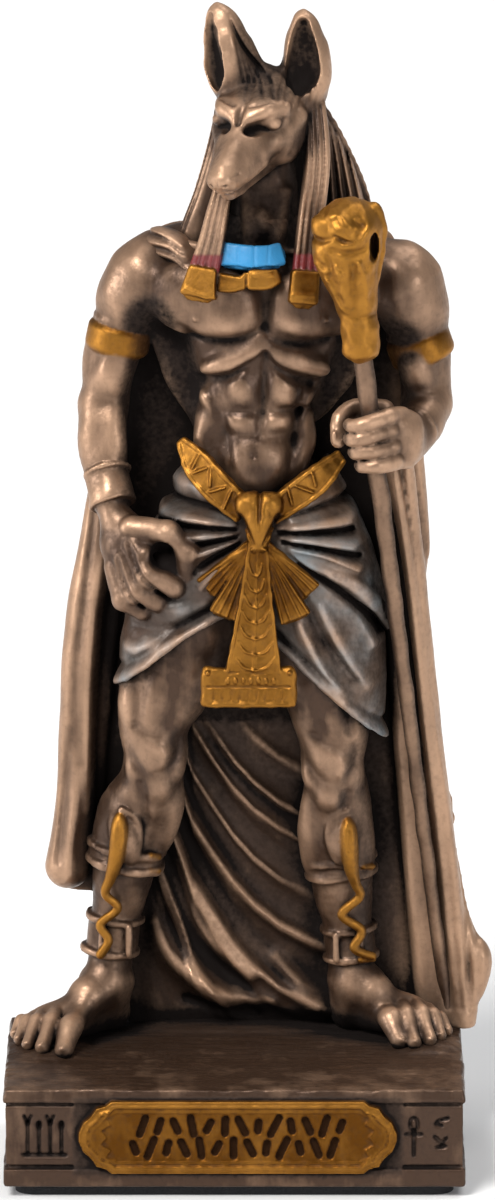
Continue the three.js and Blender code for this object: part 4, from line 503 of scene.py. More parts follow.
def carveFoot(skin, leg):
    ankle, ball, heel = leg["ankle"], leg["ball"], leg["heel"]
    instep = plus(mix(ankle, ball, 0.5), (0, 0, 0.6))
    limb(skin, [(*ankle, 2.1), (*instep, 2), (*ball, 1.6)], 0.8, 5)
    limb(skin, [(*heel, 1.9), (*plus(ball, (0, 0.4, -0.5)), 1.5)], 0.8)
    limb(skin, [(*plus(ankle, (0, 0, 0.5)), 2), (*heel, 1.9)], 0.8)
    for out in (-1, 1):
        blob(skin, plus(ankle, (out * 1.8, 0.4, 0.4)), (0.8, 0.9, 1), 0.6)
    for knuckle, (x, y, thick) in zip(leg["knuckles"], leg["toes"]):
        limb(skin, [(*plus(mix(ankle, knuckle, 0.3), (0, 0, -0.3)), thick * 0.7),
            (*plus(mix(ankle, knuckle, 0.7), (0, 0, 0.1)), thick * 0.75), (*knuckle, thick * 0.9)], 0.5, 4)
        bend = mix(knuckle, (x, y, 1.3), 0.42)
        limb(skin, [(*plus(knuckle, (0, 0, -0.1)), thick * 0.95), (*plus(bend, (0, 0, 0.15)), thick * 1.04),
            (*mix(bend, (x, y, 0.7), 0.6), thick * 0.92), (x, y, 0.7, thick * 0.86)], 0.1, 4)
        blob(skin, plus(bend, (0, 0, 0.3)), (thick * 0.98,) * 3, 0.25)
        toward = unit((x - knuckle[0], y - knuckle[1], 0))
        nail = (x + toward[0] * thick * 0.45, y + toward[1] * thick * 0.45, 0.95)
        blob(skin, nail, (thick * 0.55, thick * 0.5, thick * 0.4), 0.05, toward, (0, 0, 1))


def onHead(forward, side, up, *rest):
    # a place given along the gaze, to the head's side and up from the middle of the skull
    place = [c + forward * g + side * s + up * u for c, g, s, u in zip(skull, gaze, headSide, headUp)]
    return (*place, *rest)


def faceLimb(skin, side, points, soft, steps, cut=False):
    # limb along points of forward, aside, up, radius
    limb(skin, [onHead(f, side * s, u, r) for f, s, u, r in points], soft, steps, cut)


def carveHead(skin):
    blob(skin, onHead(-0.2, 0, 0.7), (4.4, 4.1, 4.3), 0.4, gaze, headUp)
    faceLimb(skin, 1, [(2.6, 0, 0.5, 3.2), (5.4, 0, 0.2, 2.65), (8, 0, -0.1, 2.1), (10.1, 0, -0.25, 1.6)], 1,
        10)
    faceLimb(skin, 1, [(3.8, 0, 2.2, 1.2), (6.4, 0, 1.8, 0.95), (8.4, 0, 1.15, 0.8), (10.4, 0, 0.7, 0.75)],
        0.6, 8)
    faceLimb(skin, 1, [(1, 0, -1.8, 2.4), (5.2, 0, -2, 1.6), (8.2, 0, -1.9, 1.25), (9.8, 0, -1.7, 1)], 0.2, 8)
    blob(skin, onHead(11.1, 0, 0.1), (1, 1.35, 0.95), 0.3, gaze, headUp)
    for side in (-1, 1):
        blob(skin, onHead(1.6, side * 2.4, -0.4), (3.1, 1.8, 2.7), 0.9, gaze, headUp)
        faceLimb(skin, side, [(5.8, 2, 0.3, 0.5), (3.6, 3, 0.7, 0.6), (0.8, 3.7, 1.1, 0.7)], 1, 8)
        # brow over a broad socket, then eyeball and lids
        faceLimb(skin, side, [(5.2, 0.5, 2.6, 0.5), (4.6, 1.3, 3.15, 0.7), (3.7, 2.3, 3.4, 0.75),
            (2.3, 3.1, 3, 0.6)], 1.1, 8)
        faceLimb(skin, side, [(6.1, 0.85, 2.1, 0.25), (5.4, 1.3, 2.35, 0.5), (4.8, 1.8, 2.45, 0.5),
            (4.1, 2.4, 2.4, 0.2)], 0.9, 8, True)
        blob(skin, onHead(3.9, side * 2.65, 2.3), (0.85, 0.8, 0.72), 0.12, gaze, headUp)
        faceLimb(skin, side, [(4.6, 2.5, 2.9, 0.12), (3.9, 3.1, 2.95, 0.2), (3.3, 3.5, 2.4, 0.2),
            (3.7, 3.4, 1.7, 0.12)], 0.15, 6, True)
        faceLimb(skin, side, [(4.5, 2, 2.5, 0.2), (3.9, 2.7, 2.95, 0.3), (2.9, 3.3, 2.7, 0.25)], 0.25, 8)
        faceLimb(skin, side, [(4.3, 2.3, 1.5, 0.2), (3.7, 2.95, 1.5, 0.28), (2.8, 3.4, 1.9, 0.25)], 0.3, 8)
        # mouth line, the lip above it, nostril and wrinkles on the muzzle
        faceLimb(skin, side, [(11.6, 0.5, -1, 0.16), (9.6, 1.65, -1.25, 0.2), (7, 2.3, -1.25, 0.2),
            (5, 2.7, -0.9, 0.14)], 0.1, 8, True)
        faceLimb(skin, side, [(10.9, 1.05, -0.55, 0.35), (9, 1.65, -0.7, 0.4), (6.6, 2.25, -0.6, 0.35)], 0.6,
            8)
        blob(skin, onHead(11.9, side * 0.7, -0.15), (0.3, 0.24, 0.2), 0.15, gaze, headUp, True)
        faceLimb(skin, side, [(11.3, 1.25, 0.5, 0.12), (10.2, 1.5, 0.3, 0.12)], 0.15, 3, True)
        # fur swept back over the forehead and down the jaw
        for i in range(4):
            s = 0.35 + 0.95 * i
            faceLimb(skin, side, [(4.3 - 0.35 * i, s, 4.05, 0.08), (2.7 - 0.3 * i, s * 1.1, 4.75, 0.14),
                (0.9, s * 1.1, 5.1, 0.12)], 0.25, 4, True)
        for i in range(4):
            faceLimb(skin, side, [(3.6 - 0.9 * i, 3.7 - 0.1 * i, -1.2, 0.08),
                (2.6 - 0.9 * i, 3.9 - 0.2 * i, -2.3, 0.13)], 0.25, 3, True)
    blob(skin, onHead(3.2, 0, 3.1), (1.9, 2.7, 1.2), 1, gaze, headUp)
    faceLimb(skin, 1, [(3.9, 0.2, 4.7, 0.1), (4.8, 0.1, 3.9, 0.2), (5.9, 0, 2.9, 0.12)], 0.6, 6, True)
    for side in (-1, 1):  # slanting frown over each brow
        faceLimb(skin, side, [(4.4, 0.9, 4.1, 0.08), (3.9, 2, 4.3, 0.2), (2.9, 3.1, 4.1, 0.1)], 0.4, 5, True)
    faceLimb(skin, 1, [(12.1, 0, 0.6, 0.1), (12, 0, -0.8, 0.12)], 0.12, 2, True)


def shifted(place, way, far):
    return [p + v * far for p, v in zip(place, way)]


def carveEar(skin, base, middle, tip, width, facing, filled=False):
    # upright ear, deeply hollowed on the side it faces, its rim left proud
    out = list(unit(facing) * width)
    across = np.cross(unit(facing), (0, 0, 1))
    limb(skin, [(*base, width * 0.86), (*mix(base, middle, 0.5), width * 1), (*middle, width * 0.96),
        (*mix(middle, tip, 0.45), width * 0.76), (*mix(middle, tip, 0.8), width * 0.48), (*tip, 0.45)], 0.5,
        10)
    if filled:
        return
    bowl = ((base, middle, 0.3, 0.85, 0.26), (base, middle, 0.6, 0.76, 0.56),
            (base, middle, 0.95, 0.72, 0.68), (middle, tip, 0.45, 0.56, 0.5), (middle, tip, 0.78, 0.4, 0.26))
    limb(skin, [(*shifted(mix(a, b, t), out, far), width * r) for a, b, t, far, r in bowl], 0.15, 10, True)
    # fur lines up the back of the ear
    for i in range(-4, 5):
        turn = 0.28 * i
        away = [-out[k] * 0.8 * math.cos(turn) + across[k] * width * 0.98 * math.sin(turn) for k in range(3)]
        high = 0.45 + 0.15 * math.cos(2.1 * i)
        limb(skin, [(*shifted(base, away, 1.02), 0.12), (*shifted(mix(base, middle, 0.7), away, 1.2), 0.16),
            (*shifted(mix(middle, tip, high), away, 0.84), 0.08)], 0.14, 6, True)


def carveEars(skin, filled=False):
    carveEar(skin, (0.6, 1.2, 91), (-0.7, 1.2, 94.4), (-1.6, 1.4, 99.3), 2.4, (-0.84, -0.54, 0.05), filled)
    carveEar(skin, (6.3, 1.2, 90.6), (6.75, 1.3, 93.8), (6.5, 1.8, 98.6), 2.45, (-0.20, -0.97, 0.1), filled)
    if filled:
        return
    # slope of fur from the left ear to the crown, hair swept back between the ears
    limb(skin, [(2.3, 0.9, 91.2, 1.7), (1.5, 1, 93, 1.55), (0.3, 1.1, 95.5, 1.45), (-0.8, 1.2, 97.9, 1.1)],
        0.9, 5)
    limb(skin, [(1.6, 0.2, 91.2, 1.5), (0.6, 0.4, 93.6, 1.4), (-0.5, 0.7, 96.4, 1)], 0.9, 5)
    blob(skin, (2.9, 1, 92), (1.6, 1.5, 1.5), 0.9)
    for i in range(6):
        fold(skin, [(-0.5 + 0.22 * i, 98.6 - 0.5 * i, 0.12, -0.1),
            (0.3 + 0.36 * i, 95.6 - 0.3 * i, 0.17, -0.3), (0.9 + 0.52 * i, 92.6, 0.15, -0.18)], -3, 1.2, 4)
    for i in range(7):
        x, lean = 1.2 + 0.72 * i + 0.25 * math.sin(5.1 * i), 0.5 * math.sin(1.7 * i + 0.4)
        fold(skin, [(x - lean, 90.9 + 0.4 * math.sin(3.3 * i), 0.12, -0.08), (x, 92.2, 0.18, -0.17),
            (x + lean, 93.6, 0.14, -0.08)], -4, 1.5, 4)
    for i in range(5):
        fold(skin, [(5.2 + 0.7 * i, 90.2 + 0.3 * math.sin(3.1 * i), 0.1, -0.06),
            (5.6 + 0.7 * i, 91.4, 0.16, -0.12), (5.8 + 0.55 * i, 92.4, 0.1, -0.05)], -5, -0.4, 4)


def striate(layer, path, count, width, depth, yLow, yHigh):
    # grooves along a strap's points of x, y, z, half width, half thickness
    for i in range(count):
        share = 2 * (i + 1) / (count + 1) - 1
        fold(layer, [(x + share * half, z, width, -depth) for x, y, z, half, thick in path], yLow, yHigh, 4)


def carveHeadcloth(wig):
    # back fall with grooved locks, and a lappet down each side of the face
    blob(wig, (3.4, 2.2, 88.8), (4.8, 3.8, 3.6), 0.5)
    strap(wig, [(3.3, 2.8, 90, 4.2, 2.5), (4, 3, 85.7, 6.3, 2.4), (4.3, 3.4, 81, 8.2, 2.2),
        (4.5, 3.6, 76, 9.3, 1.8)], forwards, 0.8, 1.6, 6)
    blob(wig, (6.6, 1.7, 88.9), (1.9, 2, 2.8), 1.2)
    limb(wig, [(-0.2, 1.4, 90.6, 1.4), (-1, 0.8, 86.8, 1.4), (-2.2, 0.6, 82, 1.5), (-3.4, 0.6, 78.4, 1.6),
        (-4.4, 1, 75, 1.8)], 0.9, 6)
    for i in range(5):
        limb(wig, [(-1.4 - 0.05 * i, -0.4 + 0.5 * i, 90, 0.08), (-2.2 - 0.1 * i, -0.8 + 0.55 * i, 86, 0.12),
            (-3.5 - 0.1 * i, -0.9 + 0.6 * i, 81.6, 0.15), (-4.8 - 0.1 * i, -0.9 + 0.6 * i, 78, 0.12)], 0.2, 4,
            True)
    for i in range(5):  # strong slanting grooves right of the lappet
        fold(wig, [(8.1 + 0.15 * i, 91 - 0.5 * i, 0.15, -0.12), (8.6 + 0.55 * i, 86, 0.22, -0.5),
            (8.9 + 0.95 * i, 79, 0.28, -0.6)], -1.5, 3.2, 4)
    for i in range(13):
        across = i / 12
        fold(wig, [(1.6 + 4 * across, 92, 0.2, -0.15), (-0.4 + 8.6 * across, 86, 0.26, -0.35),
            (-3.4 + 15.6 * across, 77, 0.3, -0.4)], 3, 9, 4)
    lappets = wig.like()
    right = [(7.5, 0.9, 90.6, 0.9, 0.9), (7.75, -1.6, 85.4, 1.15, 0.9), (7.1, -3, 79.4, 1.2, 0.9),
             (6.6, -4.6, 74, 1.35, 0.8)]
    left = [(-0.7, -2, 84, 0.75, 0.8), (-1.5, -2.9, 80.8, 1, 0.9), (-2.1, -3.8, 78, 1.2, 0.9),
            (-3, -4.8, 74.6, 1.5, 0.8)]
    strap(lappets, right, (0.15, -1, 0), 0.2, 0.45, 8)
    strap(lappets, left, (-0.15, -1, 0), 0.2, 0.45, 8)
    striate(lappets, right, 3, 0.14, 0.2, -9, 0.9)
    striate(lappets, left, 3, 0.14, 0.18, -9, -0.6)
    wig.values[:] = softJoin(wig.values, lappets.values, 0.2)


def carveCollar(gold, blue):
    bib = [(-0.9, -3.6, 76.6, 1.15, 0.8), (0.6, -4.1, 76.5, 1.15, 0.8), (1.9, -4.3, 76.45, 1.15, 0.8),
           (3.1, -4.2, 76.5, 1.1, 0.8), (4.1, -3.7, 76.6, 1.1, 0.8)]
    strap(blue, bib, (0, -1, 0.35), 0.1, 0.3, 6)
    fold(blue, [(x, 75.7 + 0.1 * math.cos(2 * x), 0.12, -0.2) for x in (-1.2, 0.2, 1.6, 3, 4.4)], -7, -2, 4)
    for x, tilt in ((0.3, 0.1), (1.9, -0.05), (3.2, -0.1)):
        fold(blue, [(x, 77.6, 0.09, -0.08), (x + tilt, 75.8, 0.09, -0.1)], -7, -2)
    # gilt ends of the lappets and the strip between them
    strap(gold, [(-2.9, -4.9, 75.4, 1.4, 0.8), (-3.3, -5.4, 73.3, 1.75, 0.8)], (-0.15, -1, 0), 0.15, 0.35)
    strap(gold, [(6.6, -4.7, 75, 1.35, 0.8), (6.4, -5.3, 72.6, 1.4, 0.8)], (0.15, -1, 0), 0.15, 0.35)
    strap(gold, [(-1.6, -4.9, 74.3, 0.95, 0.6), (-0.2, -5.2, 74.2, 0.85, 0.6), (0.8, -5.35, 74.35, 0.7, 0.6),
        (1.6, -5.4, 74.6, 0.95, 0.6), (3, -5.3, 74.6, 0.95, 0.6), (3.9, -5, 74.8, 0.75, 0.55)], (0, -1, 0.3),
        0.12, 0.3, 6)
    folds(gold, (
        ((-1.5, 75.9, 0.14, -0.12), (-1.6, 74.5, 0.16, -0.25), (-1.7, 73.2, 0.14, -0.15)),
        ((1.2, 75.4, 0.12, -0.15), (1.1, 74.3, 0.14, -0.25), (1.2, 73.4, 0.12, -0.15)),
        ((-1.2, 75, 0.14, 0.12), (0.6, 74.8, 0.14, 0.14)),
        ((1.9, 75.2, 0.16, 0.15), (3.4, 75.3, 0.16, 0.12)),
        ((-4.6, 73.9, 0.2, 0.14), (-2.6, 73, 0.2, 0.14)),
        ((5.3, 73.3, 0.2, 0.12), (7.4, 73.2, 0.2, 0.12)),
    ), -8, -3, 4)


def carveShaft(skin):
    half = mix(staffTop, staffFoot, 0.5)
    limb(skin, [(*staffTop, 0.95), (*half, 0.72), (*staffFoot, 0.62)], 0.3, 1)


def carveStaffHead(gold):
    # gilt animal head: a dome that tapers into a collar, with a loop behind
    front, middle = (-13, -8), -8.5
    outline = ((11.8, 68.9, 1.58), (11.6, 71.2, 1.72), (11.35, 73.2, 1.95), (11, 75, 2.35), (10.55, 77, 2.9),
               (10.5, 79, 3.25), (10.7, 79.9, 3.15))
    limb(gold, [(x, middle, z, r) for x, z, r in outline], 0.3, 8)
    blob(gold, (12.95, -10.3, 78.7), (0.45, 1.9, 1.45), 0.12, cut=True)
    limb(gold, [(12.9, middle, 81.7, 0.9), (13.6, middle, 80.4, 0.6), (13.7, middle, 78.8, 0.42),
        (13.4, middle, 77.2, 0.5), (12.8, middle, 75.6, 0.7)], 0.25, 8)
    blob(gold, (8.3, -9.6, 80.6), (1.2, 1.2, 1.1), 0.9)
    blob(gold, (8.4, -9.6, 78.2), (1, 1.1, 0.9), 0.8)
    blob(gold, (10, -10.8, 80.6), (0.95, 0.7, 0.85), 0.6)
    ridges = (
        ((8.9, 81.7, 0.4, 0.2), (9.8, 81.9, 0.4, 0.28), (10.7, 80.9, 0.35, 0.2)),
        ((12.2, 81.9, 0.4, 0.15), (12.4, 80.6, 0.4, 0.25), (11.8, 79.6, 0.35, 0.2)),
        ((7.6, 77, 0.3, 0.25), (8.2, 76.4, 0.3, 0.25), (8.9, 76.6, 0.3, 0.15)),
        ((9.4, 77, 0.32, 0.3), (9.6, 76.5, 0.32, 0.25)),
        ((11.6, 77.3, 0.32, 0.3), (11.8, 76.7, 0.32, 0.25)),
        ((9.7, 76.3, 0.3, 0.22), (10, 74.6, 0.28, 0.2), (10.3, 73.2, 0.24, 0.1)),
        ((12.1, 76.2, 0.3, 0.22), (12.3, 74.6, 0.28, 0.2), (12.4, 73.2, 0.24, 0.1)),
        ((8.6, 75.5, 0.3, 0.25), (9.2, 74.2, 0.28, 0.2), (9.9, 72.8, 0.24, 0.1)),
    )
    grooves = (
        ((9.3, 79.95, 0.2, -0.22), (10.1, 79.5, 0.22, -0.35), (10.9, 79.4, 0.2, -0.2)),
        ((7.2, 79.4, 0.3, -0.22), (8.1, 79.4, 0.3, -0.28), (8.9, 79.6, 0.25, -0.15)),
        ((11.2, 81.3, 0.3, -0.2), (11.8, 80.9, 0.35, -0.28)),
        ((9, 78.6, 0.3, -0.15), (10.6, 78.4, 0.3, -0.25), (12.1, 78.7, 0.3, -0.15)),
        ((8.6, 77.9, 0.25, -0.15), (9, 76.8, 0.25, -0.22), (8.8, 75.8, 0.22, -0.12)),
        ((11, 77.2, 0.32, -0.25), (11, 75.4, 0.32, -0.28), (11.2, 73, 0.25, -0.1)),
        ((10.2, 72.2, 0.2, -0.08), (11.6, 72, 0.2, -0.1), (13.1, 72.2, 0.2, -0.08)),
    )
    folds(gold, ridges + grooves, *front, 5)
    band(gold, (11.78, middle, 69.6), (0.02, 0, 1), 1.62, 1.5, 0.4, 0.6)


# How boldly the kilt's folds and hem and the cape's waves stand out, and the cape's edge
drape = {"kiltFolds": 1.25, "kiltHemRoll": 0.45, "capeWave": 0.55, "capeTop": 78.5, "capeRounding": 1.6}


def carveKilt(cloth):
    # two draped tubes and a lap between, pleats fanning from the knot, a slanting swag on
    # the right, and a rolled hem that rises from each outer side towards the middle
    limb(cloth, [(1, 0.2, 54, 5.6), (-2.8, -0.4, 46.5, 6), (-5, -1, 39, 5.7), (-5.6, -1.2, 33, 5.5)], 0.8, 6)
    limb(cloth, [(3.4, 0.2, 54, 5.6), (6.4, -0.4, 46.5, 6.2), (8.7, -0.8, 39, 5.6), (9.2, -1, 30, 5)], 0.8, 6)
    blob(cloth, (2.2, -1.6, 46), (5.2, 4.4, 9.5), 0.8)
    cuts, (x, y, z) = cloth.region((-14, -11, 26), (18, 9, 62))
    swagLine = 48.4 - np.clip(x - 5.2, 0, 20) * 0.78
    above = past(z, swagLine, 0.5) * easeStep(x - 4.5)
    cloth.values[cuts] -= np.where(y < 2, 0.6 * above, 0).astype(np.float32)
    limb(cloth, [(5.4, -6, 48.7, 0.35), (8.6, -6, 47.2, 0.85), (11.4, -4.9, 45, 1), (13.4, -3, 42.6, 1),
        (14.2, -1.6, 41, 0.85)], 0.25, 8)
    ridges = (  # right of the knot, then left of it
        ((4.2, 51, 0.3, 0.3), (7.4, 51.3, 0.45, 0.75), (10.9, 51.4, 0.5, 0.7)),
        ((4.4, 50.1, 0.3, 0.3), (7.6, 49.9, 0.45, 0.75), (11.3, 49, 0.5, 0.7)),
        ((5.2, 49.2, 0.25, 0.3), (8.6, 48.5, 0.35, 0.55), (11.8, 46.9, 0.4, 0.5)),
        ((0, 51.2, 0.3, 0.3), (-3, 51.6, 0.5, 0.7), (-6.6, 51.8, 0.5, 0.6)),
        ((0.1, 50.4, 0.3, 0.3), (-3, 50.2, 0.45, 0.7), (-6.6, 49.8, 0.5, 0.5)),
        ((0.3, 49.8, 0.3, 0.3), (-2.4, 48.9, 0.4, 0.65), (-5, 47.8, 0.5, 0.4)),
        ((0.5, 49.1, 0.25, 0.25), (-1.4, 47.4, 0.4, 0.55), (-3.2, 45.4, 0.5, 0.35)),
        ((0.4, 53.2, 0.4, 0.2), (-3.4, 54.6, 0.8, 0.5), (-6.2, 54.8, 0.8, 0.4)),
    )
    dips = (
        ((4.2, 50.55, 0.2, -0.4), (7.5, 50.6, 0.25, -0.75), (11, 50.3, 0.3, -0.6)),
        ((4.6, 49.7, 0.2, -0.4), (8, 49.1, 0.25, -0.75), (11.6, 47.9, 0.3, -0.6)),
        ((5.4, 52.2, 0.25, -0.3), (9, 53, 0.35, -0.5), (11.6, 53.2, 0.4, -0.4)),
        ((6, 47.5, 0.25, -0.4), (9.7, 45.3, 0.4, -0.95), (12, 42.9, 0.45, -0.9), (13.6, 40.4, 0.45, -0.6)),
        ((0.1, 50.8, 0.2, -0.4), (-3, 50.9, 0.25, -0.75), (-6.8, 50.8, 0.3, -0.5)),
        ((0.2, 50.1, 0.2, -0.4), (-2.7, 49.5, 0.25, -0.75), (-6, 48.7, 0.3, -0.5)),
        ((0.4, 49.4, 0.2, -0.4), (-2, 48.1, 0.25, -0.7), (-4.2, 46.4, 0.3, -0.4)),
        ((0.2, 52.4, 0.25, -0.3), (-3.2, 52.9, 0.35, -0.6), (-6.6, 53.1, 0.4, -0.5)),
        ((6.6, 44.2, 0.5, -0.3), (8.4, 40.4, 0.5, -0.4), (11.2, 36.2, 0.5, -0.35)),
        ((-9.2, 41.2, 0.5, -0.2), (-5.4, 41.6, 0.5, -0.35), (-1.6, 43.6, 0.4, -0.3)),
    )
    softFolds = (
        ((5.6, 43.6, 0.6, 0.4), (7.2, 39.2, 0.7, 0.5), (10.4, 34.4, 0.7, 0.4)),
        ((8.2, 43.4, 0.6, 0.35), (10, 39.6, 0.7, 0.45), (12.6, 35.6, 0.6, 0.35)),
        ((-10, 39, 0.6, 0.3), (-6.6, 39.9, 0.7, 0.4), (-2.6, 42, 0.6, 0.35)),
        ((-9.4, 43, 0.6, 0.3), (-5, 43.4, 0.7, 0.35)),
        ((-10.4, 46.4, 0.5, 0.35), (-7, 46.6, 0.6, 0.4), (-3.4, 47, 0.4, 0.2)),
        ((8.6, 47, 0.4, 0.2), (11.4, 43.6, 0.45, 0.35), (13.2, 39.4, 0.45, 0.3)),
        ((6.2, 41.6, 0.4, 0.2), (8.8, 36.8, 0.45, 0.35), (11.8, 33.2, 0.4, 0.25)),
        ((-8.6, 37.4, 0.4, 0.15), (-5.4, 38.4, 0.45, 0.3), (-2, 40.4, 0.4, 0.2)),
    )
    lines = [[(*p[:3], p[3] * drape["kiltFolds"]) for p in points] for points in ridges + dips + softFolds]
    folds(cloth, lines, -9, 2, 5)
    # pleats that hang down the back
    for i in range(9):
        fold(cloth, [(-6.5 + 2 * i, 52, 0.4, -0.3), (-8.4 + 2.5 * i, 34, 0.5, -0.5)], 2, 9)
    waist = 53.6 + 0.11 * np.abs(x - 2.2) ** 1.35 + 0.25 * np.clip(y + 4, 0, 8)
    hem = np.where(x < 2, 35.2 + (x + 10.9) * 0.86 - 0.06 * np.clip(x + 6, 0, 20) ** 2,
        30.6 + (13.4 - x) * 0.92)
    rolled = cloth.values[cuts] - drape["kiltHemRoll"] * np.exp(-((z - hem - 0.45) / 0.5) ** 2)
    rolled = rolled + 0.3 * np.exp(-((z - hem - 1.45) / 0.4) ** 2)
    limits = np.maximum(np.maximum(z - waist, hem - z), y - 4.5)
    cloth.values[cuts] = np.maximum(rolled, limits).astype(np.float32)


def trim(layer, path, face, rim, height, offsets=(-1, 1)):
    # raised cords along a strap's edges, on the side it faces
    face = unit(face)
    for share in offsets:
        line = []
        for i, (x, y, z, half, thick) in enumerate(path):
            ahead, behind = path[min(i + 1, len(path) - 1)], path[max(i - 1, 0)]
            along = unit(np.subtract(ahead[:3], behind[:3]))
            aside = unit(np.cross(face, along))
            out = face * (thick + height) + aside * share * max(half - rim * 0.9, 0)
            line.append((x + out[0], y + out[1], z + out[2], rim))
        limb(layer, line, 0.08, 4)


def carveSash(gold):
    # two straps from the hips to a knot, fanned ends, a long apron and its end plate
    height = knot[2]
    left = [(0.9, -5.9, 52.6, 1.25, 0.45), (-1.5, -5.3, 54.7, 1.5, 0.45), (-3.5, -4, 56.8, 1.4, 0.45),
            (-4.9, -2.6, 58.6, 0.5, 0.35)]
    right = [(3.4, -5.9, 52.4, 1.1, 0.45), (5.6, -5.8, 54, 1.35, 0.45), (7.9, -4.9, 55.6, 1.3, 0.45),
             (9.9, -3.2, 57.2, 0.7, 0.4)]
    for path, face in ((left, (-0.3, -1, 0.1)), (right, (0.3, -1, 0.1))):
        strap(gold, path, face, 0.1, 0.2, 6)
        trim(gold, path, face, 0.24, -0.05)
    for a, b in (((-0.3, 54.6), (-1, 52.9)), ((-0.9, 54.9), (-2.3, 54.4)), ((-2.2, 56.6), (-2.3, 54.9)),
                 ((-2.6, 56.6), (-3.9, 56)), ((-3.4, 57.6), (-4, 56.4)),
                 ((5.4, 53.3), (5, 54.9)), ((5.8, 55.1), (7.4, 54.4)), ((7.6, 55), (7.3, 56.2))):
        fold(gold, [(*a, 0.13, 0.28), (*mix(a, b, 0.5), 0.15, 0.34), (*b, 0.13, 0.28)], -9, -1)
    # the knot: two lobes drawn in to a blunt point
    blob(gold, (1.25, -6.5, height + 1.5), (1.2, 1.1, 1.35), 0.35)
    blob(gold, (3.35, -6.5, height + 1.5), (1.2, 1.1, 1.35), 0.35)
    limb(gold, [(2.3, -6.4, height + 1.4, 1.4), (2.3, -6.7, height, 1.5), (2.25, -6.9, height - 1.8, 1),
        (2.2, -6.9, height - 2.9, 0.45)], 0.5, 8)
    folds(gold, (
        ((2.4, height + 2.6, 0.25, -0.25), (2.35, height + 0.9, 0.2, -0.35),
         (2.3, height - 0.4, 0.15, -0.15)),
        ((0.5, height + 0.6, 0.2, -0.2), (1.2, height - 0.6, 0.18, -0.28), (1.8, height - 2, 0.14, -0.15)),
        ((4.1, height + 0.6, 0.2, -0.2), (3.4, height - 0.6, 0.18, -0.28), (2.7, height - 2, 0.14, -0.15)),
    ), -10, -5, 5)
    fans = (  # root x, end x, end z, half width of the end, end y
        (1.5, -2.6, 45.4, 1.15, -6.3), (1.8, -1.1, 42.9, 1.25, -6.7),
        (2.9, 7, 45, 1.2, -6.4), (2.7, 5.7, 42.6, 1.45, -6.8),
    )
    for xTop, xEnd, zEnd, half, yEnd in fans:
        top, end = (xTop, -6.7, 49.8), (xEnd, yEnd, zEnd)
        strap(gold, [(*top, 0.3, 0.4), (*mix(top, end, 0.6), half * 0.72, 0.42), (*end, half, 0.42)],
            forwards, 0.06, 0.12)
        along = unit(np.subtract(end, top))
        aside = (-along[2], 0, along[0])
        for share in (-1, -0.35, 0.35, 1):
            foot = plus(end, [v * half * share * 0.92 for v in aside])
            fold(gold, [(top[0] + share * 0.2, top[2] - 0.4, 0.1, 0.1),
                (*mix((top[0], top[2]), (foot[0], foot[2]), 0.5), 0.13, 0.26), (foot[0], foot[2], 0.14, 0.2)],
                -10, -4)
    apronTop, apronFoot = (2.2, -6.8, 50), (1.8, -7.4, 37.6)
    apron = [(*apronTop, 0.9, 0.5), (*mix(apronTop, apronFoot, 0.5), 1.65, 0.5), (*apronFoot, 2.6, 0.5)]
    strap(gold, apron, forwards, 0.06, 0.12)
    trim(gold, apron, forwards, 0.2, -0.02)
    trim(gold, apron, forwards, 0.13, 0.02, (0,))
    for side in (-1, 1):
        for i in range(7):
            z = 47.2 - 1.5 * i
            reach = 0.62 + 0.2 * i
            fold(gold, [(2.1, z - 0.5, 0.1, 0.12), (2 + side * reach * 0.6, z - 0.2, 0.12, 0.26),
                (1.98 + side * reach, z + 0.7, 0.1, 0.16)], -10, 0, 4)
    # the end plate: scrolled upper corners, a row of beads, flutes below
    strap(gold, [(-2.7, -7.4, 35.8, 1.75, 0.55), (5.4, -7.4, 35.8, 1.75, 0.55)], forwards, 0.08, 0.45)
    for x, inner in ((-2.5, -0.9), (5.2, 3.9)):
        limb(gold, [(x, -7.45, 37.5, 0.55), (inner, -7.5, 37.45, 0.42)], 0.2)
        blob(gold, (x, -8.05, 37.5), (0.26, 0.3, 0.26), 0.08)
    limb(gold, [(-2.4, -7.8, 34.35, 0.28), (5.1, -7.8, 34.35, 0.28)], 0.15)
    for i in range(7):
        blob(gold, (-0.6 + 0.72 * i, -7.95, 36.7), (0.22, 0.22, 0.34), 0.06)
    fold(gold, [(-2.6, 36.1, 0.12, -0.2), (5.2, 36.1, 0.12, -0.2)], -10, -4)
    for i in range(9):
        x = -1.9 + 0.8 * i
        fold(gold, [(x, 35.7, 0.14, -0.14), (x - 0.05, 34.9, 0.14, -0.14)], -10, -4)


